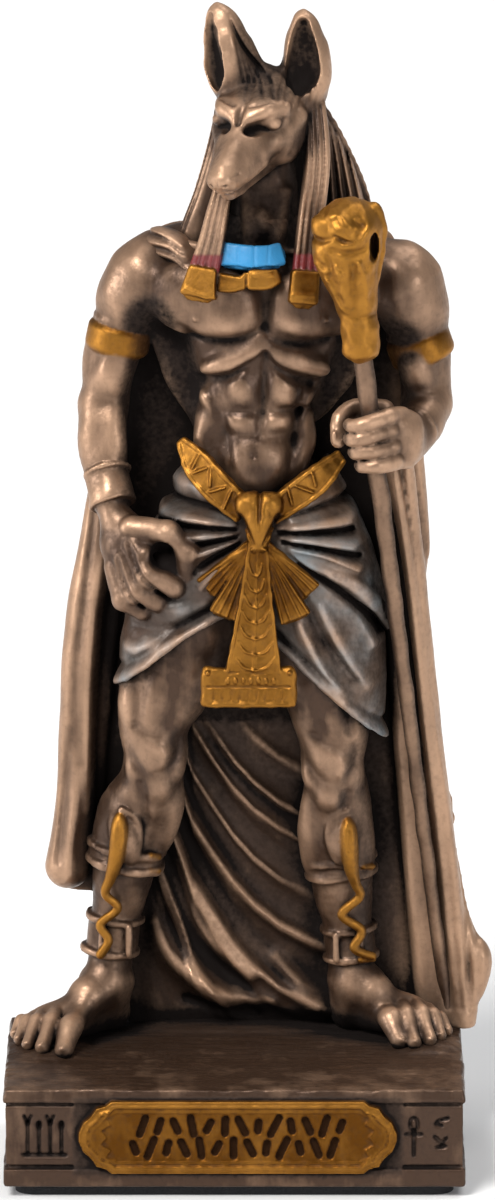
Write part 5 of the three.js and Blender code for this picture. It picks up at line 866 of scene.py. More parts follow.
def carveCape(cape):
    # a slab behind the body with a waved back, rolled side lobes, swags hanging between
    # the legs, and long pleats beside the staff
    leftEdge = ((0, 6, 14, 24, 32, 42, 52, 62, 70, 77, 80),
                (-12.6, -12.8, -17.2, -16.6, -16.3, -15, -13.4, -12.4, -10.5, -8.5, -4.5))
    rightEdge = ((0, 6, 10, 16, 20, 26, 32, 40, 46, 52, 58, 66, 74, 77, 80),
                 (22, 24.2, 22, 20.4, 20.9, 19.4, 18.6, 17.5, 18.5, 18, 17, 17, 16.5, 15, 12.5))
    backFace = ((0, 20, 50, 70, 80), (6.1, 6.2, 6.2, 5.8, 5.2))
    frontFace = ((0, 20, 34, 45, 60, 80), (3.4, 3.2, 3, 3, 3.2, 3.4))
    hemLine = ((-20, -13.6, -12, -9.6, 8), (13.6, 13.2, 9, -3, -3))
    topEdge, roundEdge = drape["capeTop"], drape["capeRounding"]
    cuts, (x, y, z) = cape.region((-23, -2, -3), (27, 10, 82))
    left, right = between(z, *leftEdge), between(z, *rightEdge)
    back, front = between(z, *backFace), between(z, *frontFace)
    fade = np.clip((80 - z) / 40, 0, 1) * past(y, 3, 2)
    ripple = np.sin((x - 2) * 1.15 / (1 + 0.012 * (80 - z)))
    finer = np.sin((x - 1) * 2.7 / (1 + 0.02 * (80 - z)) + 0.04 * z)
    wave = drape["capeWave"] * fade * (ripple + 0.35 * finer)
    across = np.abs(x - (left + right) / 2) - ((right - left) / 2 - roundEdge)
    through = np.abs(y - (back + front + wave) / 2) - ((back - front + wave) / 2 - roundEdge)
    up = z - (topEdge - roundEdge)
    away = np.sqrt(np.maximum(across, 0) ** 2 + np.maximum(through, 0) ** 2 + np.maximum(up, 0) ** 2)
    slab = away + np.minimum(np.maximum(np.maximum(across, through), up), 0) - roundEdge
    cape.values[cuts] = np.maximum(slab, between(x, *hemLine) - z).astype(np.float32)
    for i in range(8):
        top, foot = -7.4 + 2.9 * i, -13.6 + 4.9 * i
        bow = 0.8 * math.sin(2.1 * i)
        fold(cape, [(top, 75, 0.5, -0.1), (top + (foot - top) * 0.5 + bow, 42, 0.8,
            -0.6 - 0.2 * math.cos(3 * i)), (foot, 3, 1, -0.75)], 4.8, 9, 6)
        fold(cape, [(top + 1.2, 62, 0.5, 0.05), (top + (foot - top) * 0.6 + 1.6 + bow, 34, 0.7, 0.3),
            (foot + 2.2, 3, 0.8, 0.3)], 4.8, 9, 6)
    # rolled left side, its inner lip and the soft folds down it
    limb(cape, [(-11.8, 2.4, 58, 1.2), (-12.6, 2.2, 50, 1.7), (-14.2, 1.8, 40, 1.9), (-14.9, 1.6, 30, 1.8),
        (-15.2, 1.6, 22, 1.9), (-15.9, 1.6, 16.2, 2.2)], 0.8, 6)
    limb(cape, [(-11, 3, 46, 0.8), (-12.2, 2.6, 36, 0.9), (-13, 2.8, 26, 0.8), (-13.6, 3, 17, 0.8)], 0.8, 6)
    folds(cape, (
        ((-12.9, 54, 0.3, -0.2), (-13.8, 46, 0.35, -0.35), (-15, 36, 0.4, -0.3), (-15.3, 28, 0.4, -0.1)),
        ((-11.9, 50, 0.4, 0.2), (-13.3, 41, 0.45, 0.4), (-13.9, 32, 0.45, 0.4), (-14, 22, 0.4, 0.2)),
        ((-15.6, 30, 0.4, -0.1), (-16.2, 23, 0.4, -0.3), (-16.8, 17, 0.4, -0.2)),
        ((-14.6, 26, 0.5, 0.2), (-15.4, 20, 0.5, 0.35), (-15.8, 15.4, 0.5, 0.25)),
    ), -2, 3.5, 5)
    # drapery between the legs: folds that all sweep down to the right, each a shift of one
    # line, sharp on the crest and round in the hollow
    sweep = ((-9, -6.6, -5.2, -4, -2, -0.1, 1.9, 4.3, 7.5, 10),
             (34, 27.5, 23.9, 20.3, 17.1, 14.3, 12.1, 10.2, 8.6, 7.8))
    crests = smoothPath([(c, h) for c, h in (
        (-24, 0.3), (-17, 0.5), (-13.5, 1.5), (-11.5, 0.6), (-9.6, 0.5), (-7.8, 1.5), (-6.2, 2.1),
        (-4.9, 1.1), (-3.4, 0.4), (-1.6, 0.6), (-0.5, 1.5), (0.2, 1.75), (0.9, 0.7), (2, 0.25), (3.6, 0.5),
        (4.6, 0.9),
        (5.4, 0.4), (7, 0.2), (8.6, 0.7), (9.4, 1.35), (10, 0.7), (11, 0.4), (12, 1.1), (12.7, 0.5),
        (14.5, 0.2), (16.5, 0.7), (18, 0.2), (24, 0.1))], 6)
    cuts, (x, y, z) = cape.region((-9, -3, -1), (10, 4.4, 33))
    across = z - between(x, *sweep)
    rise = np.interp(across.ravel(), crests[:, 0], crests[:, 1]).reshape(across.shape)
    rise = rise + 0.12 * np.sin(across * 3.1 + 0.4 * x) * easeStep(rise)
    rise = rise * before(z, 32, 5) * past(z, -0.5, 2.5) * past(x, -9.5, 2)
    cape.values[cuts] -= rise.astype(np.float32)
    folds(cape, (
        ((-7.6, 10.4, 0.7, 0.9), (-6.7, 8.2, 1, 1.7), (-5.2, 6.2, 1.2, 2.1), (-3.2, 4.6, 1.25, 2.2),
         (-0.5, 3.4, 1.1, 1.8), (1.6, 2.8, 0.9, 1.3), (3.4, 2.6, 0.7, 0.7)),
        ((-5.9, 15.6, 0.5, 0.3), (-4.2, 11.4, 0.8, 0.9), (-1.8, 8, 0.9, 1.1), (1.4, 5.4, 0.7, 0.7)),
        ((-4.6, 2.6, 0.5, -0.5), (-1, 1.6, 0.5, -0.6), (2, 1.2, 0.5, -0.5)),
        ((4, 7, 0.7, 0.6), (6, 4.6, 0.8, 0.8), (8, 2.6, 0.8, 0.6)),
    ), -2, 4.2, 6)
    pleats = (
        ((14.8, -3.2, 56, 0.8), (16.6, -1.4, 45, 0.9), (18.4, 0.4, 30, 0.9), (20.6, 1.8, 15, 1),
         (22, 2.8, 0.5, 1)),
        ((16, -2.4, 57, 1), (17.2, -0.4, 46, 1.1), (18.6, 1.4, 32, 1), (20.4, 2.6, 16, 1.1),
         (22.6, 3.4, 6, 1.2)),
        ((16.6, 0.8, 58, 1.3), (17.2, 1.4, 48, 1.4), (17, 1.8, 40, 1.1), (18.2, 2.4, 28, 1.1),
         (19.5, 2.8, 18, 1.1)),
        ((19.6, 3, 22, 1.2), (19.3, 3, 16, 1), (21.6, 3, 9, 1.4), (23.2, 3, 6.2, 1.5), (21.8, 2.8, 0.6, 1.1)),
    )
    for pleat in pleats:
        limb(cape, pleat, 0.5, 6)
    strap(cape, [(14.2, 1, 57, 2, 1.6), (15.8, 1.4, 45, 2, 1.5), (17.2, 2.2, 30, 2.2, 1.4),
        (18.8, 2.8, 15, 2.6, 1.4), (20.2, 3.2, 0, 2.6, 1.2)], forwards, 0.8, 0.8, 5)
    for shift, depth in ((-1.1, 0.45), (0.15, 0.35), (1.3, 0.45), (2.3, 0.3)):
        fold(cape, [(15.4 + shift, 57, 0.34, -depth * 0.5), (17 + shift, 45, 0.36, -depth * 0.8),
            (18.6 + shift * 1.1, 30, 0.38, -depth * 0.8), (20.2 + shift * 1.1, 16, 0.38, -depth * 0.8),
            (21.6 + shift * 0.8, 2, 0.36, -depth * 0.6)], -6, 3, 5)
    # gathers on the left shoulder
    limb(cape, [(-7.9, 1, 76.9, 1), (-6.3, -0.3, 77, 1.5), (-4.8, -1.6, 76.2, 1.5), (-3.8, -3, 74.6, 0.9)],
        0.9, 6)
    for i in range(5):
        fold(cape, [(-8.9 + 0.5 * i, 78.3 - i, 0.25, 0.1), (-6.9 + 0.5 * i, 78.3 - 1.05 * i, 0.36, 0.35),
            (-4.9 + 0.35 * i, 77.3 - 1.05 * i, 0.32, 0.25)], -6, 1.5, 5)
        fold(cape, [(-8.8 + 0.5 * i, 77.8 - i, 0.2, -0.12), (-6.8 + 0.5 * i, 77.8 - 1.05 * i, 0.24, -0.32),
            (-4.9 + 0.35 * i, 76.7 - 1.05 * i, 0.22, -0.22)], -6, 1.5, 5)
    cuts, (x, y, z) = cape.region((-23, -6, -3), (27, 10, 4))
    cape.values[cuts] = np.maximum(cape.values[cuts], -z - 0.2)


def carveBands(skin, gold):
    bracelets = (  # middle, axis, radius, half height
        ((-11.95, -0.6, 55.2), (0.25, -0.6, -1), 2.35, 0.22),
         ((-11.8, -1.1, 53.9), (0.25, -0.6, -1), 2.12, 1.3),
        ((-11.5, -1.7, 52.5), (0.25, -0.6, -1), 2.25, 0.28),
        ((-10.2, 0.5, 18.5), (0.16, -0.05, 1), 3.9, 0.38), ((-10.3, 0.5, 17.8), (0.16, -0.05, 1), 3.6, 0.6),
        ((-10.4, 0.5, 17), (0.16, -0.05, 1), 3.85, 0.4),
        ((-11.4, 0.9, 11.3), (0.14, 0, 1), 2.85, 0.34), ((-11.6, 0.9, 9.6), (0.12, 0, 1), 2.45, 1.6),
        ((-11.9, 1, 8.1), (0.12, 0, 1), 2.85, 0.34),
        ((10, 0.8, 17.2), (-0.12, 0.02, 1), 3.6, 0.36), ((10.1, 0.9, 16.5), (-0.12, 0.02, 1), 3.3, 0.6),
        ((10.2, 1, 15.8), (-0.12, 0.02, 1), 3.55, 0.38),
        ((10.9, 1.3, 10.2), (-0.1, 0, 1), 2.8, 0.34), ((11, 1.3, 8.8), (-0.1, 0, 1), 2.4, 1.4),
        ((11.1, 1.4, 7.4), (-0.1, 0, 1), 2.8, 0.34),
        ((17.1, -2.9, 59.9), (0.5, 0.9, 0.25), 2.15, 0.2),
    )
    for centre, axis, radius, half in bracelets:
        band(skin, centre, axis, radius, half, 0.15, 0.08)
    for bars in (((-12.7, -1.6), (-10.1, -1.7)), ((9.7, -1.2), (12, -1.2))):
        high, low = (11, 8.2) if bars[0][0] < 0 else (10, 7.6)
        for x, y in bars:
            limb(skin, [(x, y, high, 0.34), (x, y, low, 0.34)], 0.08)
    # armbands, smooth and swollen
    armbands = (((-10.9, 1.3, 67.8), (0.2, -0.05, 1), 3.05), ((17.5, 1.2, 66.9), (-0.36, -0.05, 1), 3.1))
    for centre, axis, radius in armbands:
        band(gold, centre, axis, radius, 1.45, 0.75)
        band(skin, tuple(np.add(centre, unit(axis) * 1.75)), axis, radius - 0.25, 0.3, 0.25, 0.3)


def carveSnakes(skin, gold):
    # rearing snake down the front of each shin, its hood spread at the top of the guard
    for side, hood in ((-1, -10.4), (1, 10.3)):
        blob(skin, (hood, -2.7, 20.3), (2.9, 1.55, 1.5), 0.4, (side * 0.14, 0.05, 1), forwards)
        limb(skin, [(hood + side * 0.3, -3.5, 23, 0.4), (hood - side * 0.8, -3.5, 22.4, 0.4),
            (hood - side * 1.35, -3.2, 21.2, 0.4), (hood - side * 1.3, -3.1, 19.6, 0.34),
            (hood - side * 0.6, -3.3, 17.9, 0.25)], 0.3, 5)
    limb(gold, [(-10.9, -3.7, 22.3, 0.5), (-10.9, -3.9, 21.4, 0.8), (-11, -3.9, 19.9, 0.86),
        (-11.3, -3.7, 18, 0.74), (-11.8, -3.3, 16.2, 0.55), (-12.3, -2.9, 14.6, 0.44),
        (-11.1, -2.6, 13.1, 0.44), (-12.8, -2.2, 11.4, 0.44), (-12, -2.4, 9.9, 0.44),
        (-12.8, -2.2, 8.4, 0.46)], 0.08, 8)
    limb(gold, [(10.7, -3.6, 21.9, 0.5), (10.8, -3.8, 20.9, 0.84), (10.9, -3.8, 19.2, 0.88),
        (11.1, -3.5, 17.2, 0.7), (11.5, -3, 15.6, 0.5), (11.9, -2.5, 14.2, 0.46), (10.2, -2.4, 12.4, 0.46),
        (12.1, -1.9, 10.7, 0.46), (11.4, -2.1, 9, 0.46), (13.2, -1.4, 8, 0.4)], 0.08, 8)
    for x, z in ((-10.95, 20.6), (10.85, 20.1)):
        fold(gold, [(x, z + 1.4, 0.14, -0.14), (x - 0.05, z - 0.9, 0.14, -0.16)], -6, -2)
    # gilt touches on the rims beside them
    for a, b, thick in (
        ((-8, -2.5, 18.3), (-7.2, -1.8, 17.9), 0.3), ((-8.1, -2.3, 16.7), (-7.2, -1.6, 16.5), 0.26),
        ((12.2, -1.9, 17), (13.2, -1, 16.8), 0.28), ((12, -1.6, 7.7), (13.3, -0.6, 7.5), 0.3),
    ):
        limb(gold, [(*a, thick), (*b, thick)], 0.1)


# from samples to pieces
def surfaceNets(layer):
    # one point per crossed cell, one four-sided face per crossed edge
    d, inside = layer.values, layer.values < 0
    shape = tuple(n - 1 for n in d.shape)
    corners = [(i, j, k) for i in (0, 1) for j in (0, 1) for k in (0, 1)]
    filled = np.zeros(shape, np.int8)
    for o in corners:
        filled += inside[tuple(slice(o[i], o[i] + shape[i]) for i in range(3))]
    cells = np.argwhere((filled > 0) & (filled < 8))
    index = np.full(shape, -1, np.int32)
    index[tuple(cells.T)] = np.arange(len(cells))
    total = np.zeros((len(cells), 3), np.float32)
    number = np.zeros(len(cells), np.float32)
    values = {o: d[cells[:, 0] + o[0], cells[:, 1] + o[1], cells[:, 2] + o[2]] for o in corners}
    for o in corners:
        for axis in range(3):
            if o[axis]:
                continue
            a, b = values[o], values[tuple(1 if i == axis else o[i] for i in range(3))]
            hit = (a < 0) != (b < 0)
            t = np.where(hit, a / np.where(hit, a - b, 1), 0)
            for i in range(3):
                total[:, i] += np.where(hit, o[i] + (t if i == axis else 0), 0)
            number += hit
    points = (cells + total / number[:, None]) * layer.step + layer.low
    faces = []
    for axis in range(3):
        a, b = (axis + 1) % 3, (axis + 2) % 3
        here = [slice(1, n - 1) for n in d.shape]
        ahead = list(here)
        here[axis], ahead[axis] = slice(0, d.shape[axis] - 1), slice(1, d.shape[axis])
        near, far = inside[tuple(here)], inside[tuple(ahead)]
        for turned, crossed in ((False, near & ~far), (True, ~near & far)):
            edge = np.argwhere(crossed) + [int(i != axis) for i in range(3)]
            ring = []
            for da, db in ((0, 0), (1, 0), (1, 1), (0, 1)):
                q = edge.copy()
                q[:, a] -= da
                q[:, b] -= db
                ring.append(index[q[:, 0], q[:, 1], q[:, 2]])
            quad = np.stack(ring, 1)
            faces.append(quad[:, ::-1] if turned else quad)
    return points, np.concatenate(faces)


def meshFrom(name, points, faces):
    mesh = bpy.data.meshes.new(name)
    mesh.vertices.add(len(points))
    mesh.vertices.foreach_set("co", np.ascontiguousarray(points, np.float32).ravel())
    sides = faces.shape[1]
    mesh.loops.add(faces.size)
    mesh.loops.foreach_set("vertex_index", np.ascontiguousarray(faces, np.int32).ravel())
    mesh.polygons.add(len(faces))
    mesh.polygons.foreach_set("loop_start", np.arange(0, faces.size, sides, dtype=np.int32))
    mesh.update(calc_edges=True)
    mesh.validate()
    obj = bpy.data.objects.new(name, mesh)
    bpy.context.scene.collection.objects.link(obj)
    return obj


def dropCrumbs(obj):
    # islands with only a few points are leavings of the joins
    work = bmesh.new()
    work.from_mesh(obj.data)
    seen = [False] * len(work.verts)
    crumbs = []
    for start in work.verts:
        if seen[start.index]:
            continue
        seen[start.index] = True
        island = [start]
        for point in island:  # grows as it is walked
            for edge in point.link_edges:
                other = edge.other_vert(point)
                if not seen[other.index]:
                    seen[other.index] = True
                    island.append(other)
        if len(island) < casting["crumb"]:
            crumbs += island
    bmesh.ops.delete(work, geom=crumbs, context="VERTS")
    work.to_mesh(obj.data)
    work.free()


def trianglesOf(obj):
    return sum(len(p.vertices) - 2 for p in obj.data.polygons)


def thinned(obj, wanted):
    # collapses the flattest faces until the piece has as many triangles as wanted
    now = trianglesOf(obj)
    if now > wanted:
        modifier = obj.modifiers.new("thin", "DECIMATE")
        modifier.ratio = wanted / now
        reduced = bpy.data.meshes.new_from_object(obj.evaluated_get(bpy.context.evaluated_depsgraph_get()))
        obj.modifiers.clear()
        obj.data = reduced
    dropCrumbs(obj)
    obj.data.polygons.foreach_set("use_smooth", np.ones(len(obj.data.polygons), bool))
    print("  ", obj.name, "triangles", trianglesOf(obj))
    return obj


def readVectors(items, name):
    flat = np.empty(len(items) * 3, np.float32)
    items.foreach_get(name, flat)
    return flat.reshape(-1, 3).astype(float)


def pointsOf(obj):
    return readVectors(obj.data.vertices, "co")


def normalsOf(obj):
    return readVectors(obj.data.vertex_normals, "vector")


def setShare(obj, name, values):
    attribute = obj.data.attributes.get(name) or obj.data.attributes.new(name, "FLOAT", "POINT")
    attribute.data.foreach_set("value", np.ascontiguousarray(np.clip(values, 0, 1), np.float32))


def shareOf(obj, name):
    values = np.empty(len(obj.data.vertices), np.float32)
    obj.data.attributes[name].data.foreach_get("value", values)
    return values


def blurred(values, reach):
    # two running means along each axis, which is close to a round blur
    width = max(int(reach), 1)
    n = 2 * width + 1
    out = values.astype(np.float32)
    for _ in range(2):
        for axis in range(3):
            padded = np.pad(out, [(width + 1, width) if i == axis else (0, 0) for i in range(3)], "edge")
            total = np.cumsum(padded, axis=axis, dtype=np.float32)
            places = np.arange(out.shape[axis])
            out = (np.take(total, places + n, axis) - np.take(total, places, axis)) / n
    return out


class Shade:
    # how much solid stands round a place, at several distances
    def __init__(self, layer, reaches):
        solid = np.clip(0.5 - layer.values / layer.step, 0, 1)
        self.fields = [(reach, layer.like(blurred(solid, reach / layer.step / 1.4))) for reach in reaches]

    def at(self, points, normals):
        # nought on open convex places, 1 deep in a hollow, for each distance
        return [field.sample(points + normals * reach * 0.35) for reach, field in self.fields]


def toWorld(points):
    # from hundredths of the god's height to metres in the row frame
    moved = np.asarray(points) * hundredth + [0, casting["setBack"], casting["plinthTop"]]
    return moved / 1000


def toFigure(points):
    return (np.asarray(points) * 1000 - [0, casting["setBack"], casting["plinthTop"]]) / hundredth


def nearestPaint(layers, points, name, spread=0.12):
    # share of the surface that belongs to the named layer rather than to the others
    others = np.min([layer.sample(points) for n, layer in layers.items() if n != name], axis=0)
    return 1 - easeStep((layers[name].sample(points) - others) / (2 * spread) + 0.5)


def makePiece(name, layers, grid, place=toWorld):
    soft = grid.get("soft", 0.12)
    forms = list(layers.values())
    whole = functools.reduce(lambda a, b: softJoin(a, b.values, soft), forms[1:], forms[0].values.copy())
    for axis in range(3):  # closed at the edges of the block
        for end in (0, -1):
            np.moveaxis(whole, axis, 0)[end] = farAway
    joined = forms[0].like(whole)
    points, faces = surfaceNets(joined)
    return thinned(meshFrom(name, place(points), faces), grid["triangles"]), joined


wearAndShade = {  # how shut in a place has to be before it counts, over what range, and how much
    "crease": (0.31, 0.2, 0.5), "dip": (0.33, 0.24, 0.45), "valley": (0.34, 0.26, 0.35),
    # deep: painted shade, strongest where much of the whole figure stands round a place
    "deep": (0.36, 0.24, 1),
    "ridge": (0.3, 0.14, 0.4), "swelling": (0.3, 0.16, 0.35), "outside": (0.31, 0.18, 0.35),
    "fineReach": 0.5, "smallReach": 1.2,
}


def shadePiece(obj, points, whole, block, inMillimetres):
    # creases and hollows take the dark wash, places shut in by the whole figure take painted shade, swellings
    # are rubbed bright
    normals = normalsOf(obj)
    scale = hundredth if inMillimetres else 1
    fine, small = Shade(whole, (wearAndShade["fineReach"] * scale, wearAndShade["smallReach"] * scale)).at(points, normals)
    mid, wide = block.at(toFigure(points / 1000) if inMillimetres else points, normals)

    def total(rule, *rules):
        return sum(wearAndShade[name][2] * rule(v, *wearAndShade[name][:2]) for name, v in rules)

    setShare(obj, "hollow", total(past, ("crease", fine), ("dip", small), ("valley", mid)))
    # painted shade: the deep share, from how much of the whole figure stands round a place at the widest
    # reach
    setShare(obj, "deep", total(past, ("deep", wide)))
    setShare(obj, "proud", total(before, ("ridge", small), ("swelling", mid), ("outside", wide)))


# The plinth, in millimetres: a block with a lip and a foot band round a sunk panel, and a
# gilt plaque on its front.
plinthBox = [[v * 1000 for v in corner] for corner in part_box("plinth")]
plinth = {
    "width": plinthBox[1][0] * 2,
    "depth": plinthBox[1][1] * 2,
    "bottom": plinthBox[0][2],
    "top": plinthBox[1][2],
    "edge": 0.3,
    "lip": 1.2, "footBand": 1.5, "recess": 0.22,
    "plaqueWidth": 24.3, "plaqueHeight": 5.75, "plaqueFace": -plinthBox[0][1], "plaqueShift": 0.25,
    "sink": 0.26,  # plaque field behind its rim
    "strokes": 13, "strokesWidth": 16.4, "strokeWidth": 0.34, "strokeDepth": 0.36,
    "columns": 4, "columnPitch": 0.86, "columnHeight": 3.1,
    "rim": 0.5, "rimSlope": 0.2, "beadHeight": 0.12, "grooveDepth": 0.14, "curlDepth": 0.14,
    # filler round the feet and along the cape: x, y and the reach each way
    "mounds": ((-14.3, 1.4, 3.1, 3.4), (14.9, 2.4, 2.7, 3), (0, 7.2, 9, 2.2), (13, 7.6, 4.6, 2)),
    "streakDepth": 0.055, "waveDepth": 0.028, "edgeWear": 0.11,
}
panelLow, panelHigh = plinth["bottom"] + plinth["footBand"], plinth["top"] - plinth["lip"]
panelMiddle = (panelLow + panelHigh) / 2


def roughness(shape, step, cells, seed):
    # smooth random hills with cells of a given size along each axis, from -1 to 1
    chance = np.random.default_rng(seed)
    places = [np.arange(n) * step / cell for n, cell in zip(shape, cells)]
    values = chance.uniform(-1, 1, [int(p[-1]) + 3 for p in places])
    for axis, place in enumerate(places):
        base = place.astype(int)
        t = easeStep(place - base).reshape([-1 if i == axis else 1 for i in range(3)])
        values = np.take(values, base, axis) * (1 - t) + np.take(values, base + 1, axis) * t
    return values.astype(np.float32)


def plaqueOutline(width, height):
    # quarter of the outline from the blunt end to the straight top, then turned over
    x, z = width / 2, height / 2
    quarter = [(x, height * 0.05), (x - 0.35, height * 0.2), (x - 1, height * 0.3), (x - 1.35, height * 0.4),
               (x - 2.1, height * 0.44), (x - 2.5, z)]
    right = [(a, -b) for a, b in quarter[::-1]] + quarter
    return right + [(-a, -b) for a, b in right]


def insideOutline(outline, x, z):
    # distance from the outline's edge, positive inside it
    nearest, inside = np.inf, np.zeros(np.broadcast(x, z).shape, bool)
    for a, b in zip(outline, outline[1:] + outline[:1]):
        nearest = np.minimum(nearest, np.hypot(*nearLine(x, z, a, b)[1:]))
        if a[1] != b[1]:
            inside ^= ((a[1] > z) != (b[1] > z)) & (x < a[0] + (z - a[1]) / (b[1] - a[1]) * (b[0] - a[0]))
    return np.where(inside, nearest, -nearest)


def strokeMarks():
    # two staggered rows of short slanting strokes
    half = plinth["plaqueHeight"] / 2
    pitch = plinth["strokesWidth"] / plinth["strokes"]
    marks = []
    for row in (-1, 1):
        for i in range(plinth["strokes"]):
            length = 0.62 + 0.22 * math.sin(i * 2.4 + row)
            lean = 0.4 * math.sin(i * 1.7 + row * 0.8)
            x = (i + 0.5 - plinth["strokes"] / 2 + 0.25 * row) * pitch
            z = row * half * 0.3
            marks.append(((x - lean * length, z - length * 0.8), (x + lean * length, z + length * 0.8)))
    return marks


def carvePlaque(gold):
    cuts, (x, y, z) = gold.region((-14, -12, panelMiddle - 4), (14, -9, panelMiddle + 4))
    px, pz = (x - plinth["plaqueShift"])[:, 0, :], (z - panelMiddle)[:, 0, :]
    inside = insideOutline(plaqueOutline(plinth["plaqueWidth"], plinth["plaqueHeight"]), px, pz)
    behind = plinth["sink"] * past(inside, plinth["rim"], plinth["rimSlope"])  # how far behind the rim
    behind += plinth["beadHeight"] * np.exp(-((inside - 0.22) / 0.1) ** 2)
    behind -= plinth["grooveDepth"] * np.exp(-((inside - 0.85) / 0.13) ** 2)
    curl = [(9.5, 2.2), (10.1, 1.6), (9.7, 1), (10.5, 0.55), (10, 0), (10.5, -0.55), (9.7, -1), (10.1, -1.6),
            (9.5, -2.2)]
    for side in (-1, 1):
        end = np.interp(pz, [p[1] for p in curl[::-1]], [p[0] for p in curl[::-1]])
        behind -= plinth["curlDepth"] * (easeStep((side * px - end) / 0.16 + 0.5) * (inside > 0.5))
        behind -= 0.1 * np.exp(-((side * px - end) / 0.15) ** 2) * (inside > 0.6)
    for a, b in strokeMarks():
        away = np.hypot(*nearLine(px, pz, a, b)[1:])
        behind += plinth["strokeDepth"] * before(away, plinth["strokeWidth"], 0.16)
    behind += 0.02 * np.sin(px * 5.1) * np.sin(pz * 6.3 + px)
    face = -plinth["plaqueFace"] + behind[:, None, :]
    back = -plinth["depth"] / 2 + 0.8
    rounded = np.maximum(0.12 - inside, 0)[:, None, :]
    solid = np.maximum(np.maximum(face - y + rounded * 0.6, -inside[:, None, :]), y - back)
    gold.values[cuts] = np.minimum(gold.values[cuts], solid).astype(np.float32)


def carveFrieze(stone):
    # papyrus columns on a line to the left, a looped cross and small strokes to the right
    front = (-12, -plinth["depth"] / 2 + 1)
    pitch, tall = plinth["columnPitch"], plinth["columnHeight"]
    foot = panelMiddle - tall / 2
    first = plinth["plaqueShift"] - plinth["plaqueWidth"] / 2 - 1.3 - (plinth["columns"] - 1) * pitch

    def cut(points, width=0.13, depth=0.3):
        fold(stone, [(*p, width, -depth) for p in points], *front)

    for i in range(plinth["columns"]):
        x = first + i * pitch
        cut([(x, foot + 0.1), (x, foot + tall - 0.5)])
        if i % 2 == 0:
            cut([(x, foot + tall - 0.6), (x - 0.27, foot + tall)])
            cut([(x, foot + tall - 0.6), (x + 0.27, foot + tall)])
        else:
            cut([(x, foot + tall - 0.8), (x, foot + tall - 0.7)], 0.24)
    cut([(first - 0.35, foot), (first + (plinth["columns"] - 0.6) * pitch, foot)], 0.15)
    cross = plinth["plaqueShift"] + plinth["plaqueWidth"] / 2 + 1.3
    ring = [(cross + 0.3 * math.sin(a * 0.785), foot + 2.45 + 0.52 * math.cos(a * 0.785)) for a in range(9)]
    cut(ring)
    cut([(cross, foot), (cross, foot + 1.9)], 0.15)
    cut([(cross - 0.6, foot + 1.65), (cross + 0.6, foot + 1.65)], 0.15)
    for x, z, long, slope in ((2.2, 1.25, 0.8, 0.25), (1.9, 0.85, 0.5, -0.1), (1.8, -0.3, 0.4, -0.4),
                              (2.1, -0.9, 0.7, 0.1), (2.3, -0.5, 0.35, 0.6)):
        x, z = cross + x, panelMiddle + z
        cut([(x - long / 2, z - slope / 2), (x + long / 2, z + slope / 2)], 0.14)
    for z in (panelLow + 0.12, panelHigh - 0.14):
        for a, b in ((-17.4, -12.4), (13, 17.2)):
            cut([(a, z), (b, z)], 0.12, 0.26)


def carvePlinth(stone, gold):
    wide, deep, top, bottom = plinth["width"] / 2, plinth["depth"] / 2, plinth["top"], plinth["bottom"]
    centre, half = (0, 0, (top + bottom) / 2), (wide, deep, (top - bottom) / 2)
    roundBlock(stone, centre, half, plinth["edge"], 0)
    for x, y, reachX, reachY in plinth["mounds"]:
        blob(stone, (x, y, top - 0.15), (reachX, reachY, 0.6), 0.5)
    cuts, (x, y, z) = stone.region((-wide - 1, -deep - 1, bottom - 1), (wide + 1, deep + 1, top + 1))
    out = np.maximum(np.abs(x) - wide, np.abs(y) - deep)
    band = np.abs(z - panelMiddle) - (panelHigh - panelLow) / 2
    values = np.maximum(stone.values[cuts], np.minimum(out + plinth["recess"], -band))
    values = np.maximum(values, out)
    # streaks along the top, waviness and worn edges
    hills = functools.partial(roughness, values.shape, stone.step)
    streaks = hills((3.2, 0.45, 2), 11) + 0.6 * hills((1.1, 0.3, 2), 12)
    waves = hills((2.6, 2, 1.6), 13) + 0.5 * hills((0.7, 0.7, 0.5), 14)
    onTop = past(z, panelHigh, 0.8)
    edges = np.exp(-((out + 0.2) / 0.5) ** 2) * np.exp(-((z - top + 0.2) / 0.5) ** 2)
    worn = plinth["streakDepth"] * (streaks + 0.8) * onTop + plinth["waveDepth"] * (waves + 0.9)
    values += np.maximum(worn + plinth["edgeWear"] * edges * (waves + 0.9), 0)
    stone.values[cuts] = np.maximum(values, bottom - z).astype(np.float32)
    carveFrieze(stone)
    carvePlaque(gold)


print("carving the shading block")
wholeGrid = {
    "low": (-26, -23, -14), "high": (28, 11, 102), "step": 0.5,
    "plinthMiddle": (0, -6.15, -5.35), "plinthHalf": (21.8, 12.7, 5.35), "plinthEdge": 0.3,
    "reaches": (2.2, 5),  # how far round a place its hollows are felt
}


def newLayers(names, grid):
    return {name: Layer(grid["low"], grid["high"], grid["step"]) for name in names}


def carveSkin(skin):
    carveTorso(skin)
    carveArms(skin)
    carveOpenHand(skin)
    carveFist(skin)
    for leg in (leftLeg, rightLeg):
        carveLeg(skin, leg)
        carveFoot(skin, leg)


def carveEverything(skin, wig, cloth, gold, cape):
    carveSkin(skin)
    carveHead(skin)
    carveEars(skin)
    carveHeadcloth(wig)
    carveKilt(cloth)
    carveCape(cape)
    carveSash(gold)
    carveCollar(gold, gold)
    carveShaft(skin)
    carveStaffHead(gold)
    carveBands(skin, gold)
    carveSnakes(skin, gold)


coarse = newLayers(("skin", "wig", "cloth", "gold", "cape"), wholeGrid)
carveEverything(**coarse)
wholeBlock = coarse["skin"].like(np.min([layer.values for layer in coarse.values()], axis=0))
roundBlock(wholeBlock, wholeGrid["plinthMiddle"], wholeGrid["plinthHalf"], wholeGrid["plinthEdge"], 0)
shade = Shade(wholeBlock, wholeGrid["reaches"])


def levelSoles(layers):
    # flat underneath, just inside the plinth
    for layer in layers.values():
        cuts, (x, y, z) = layer.region((-30, -30, -2), (30, 30, 1))
        layer.values[cuts] = np.maximum(layer.values[cuts], -z - casting["sole"])


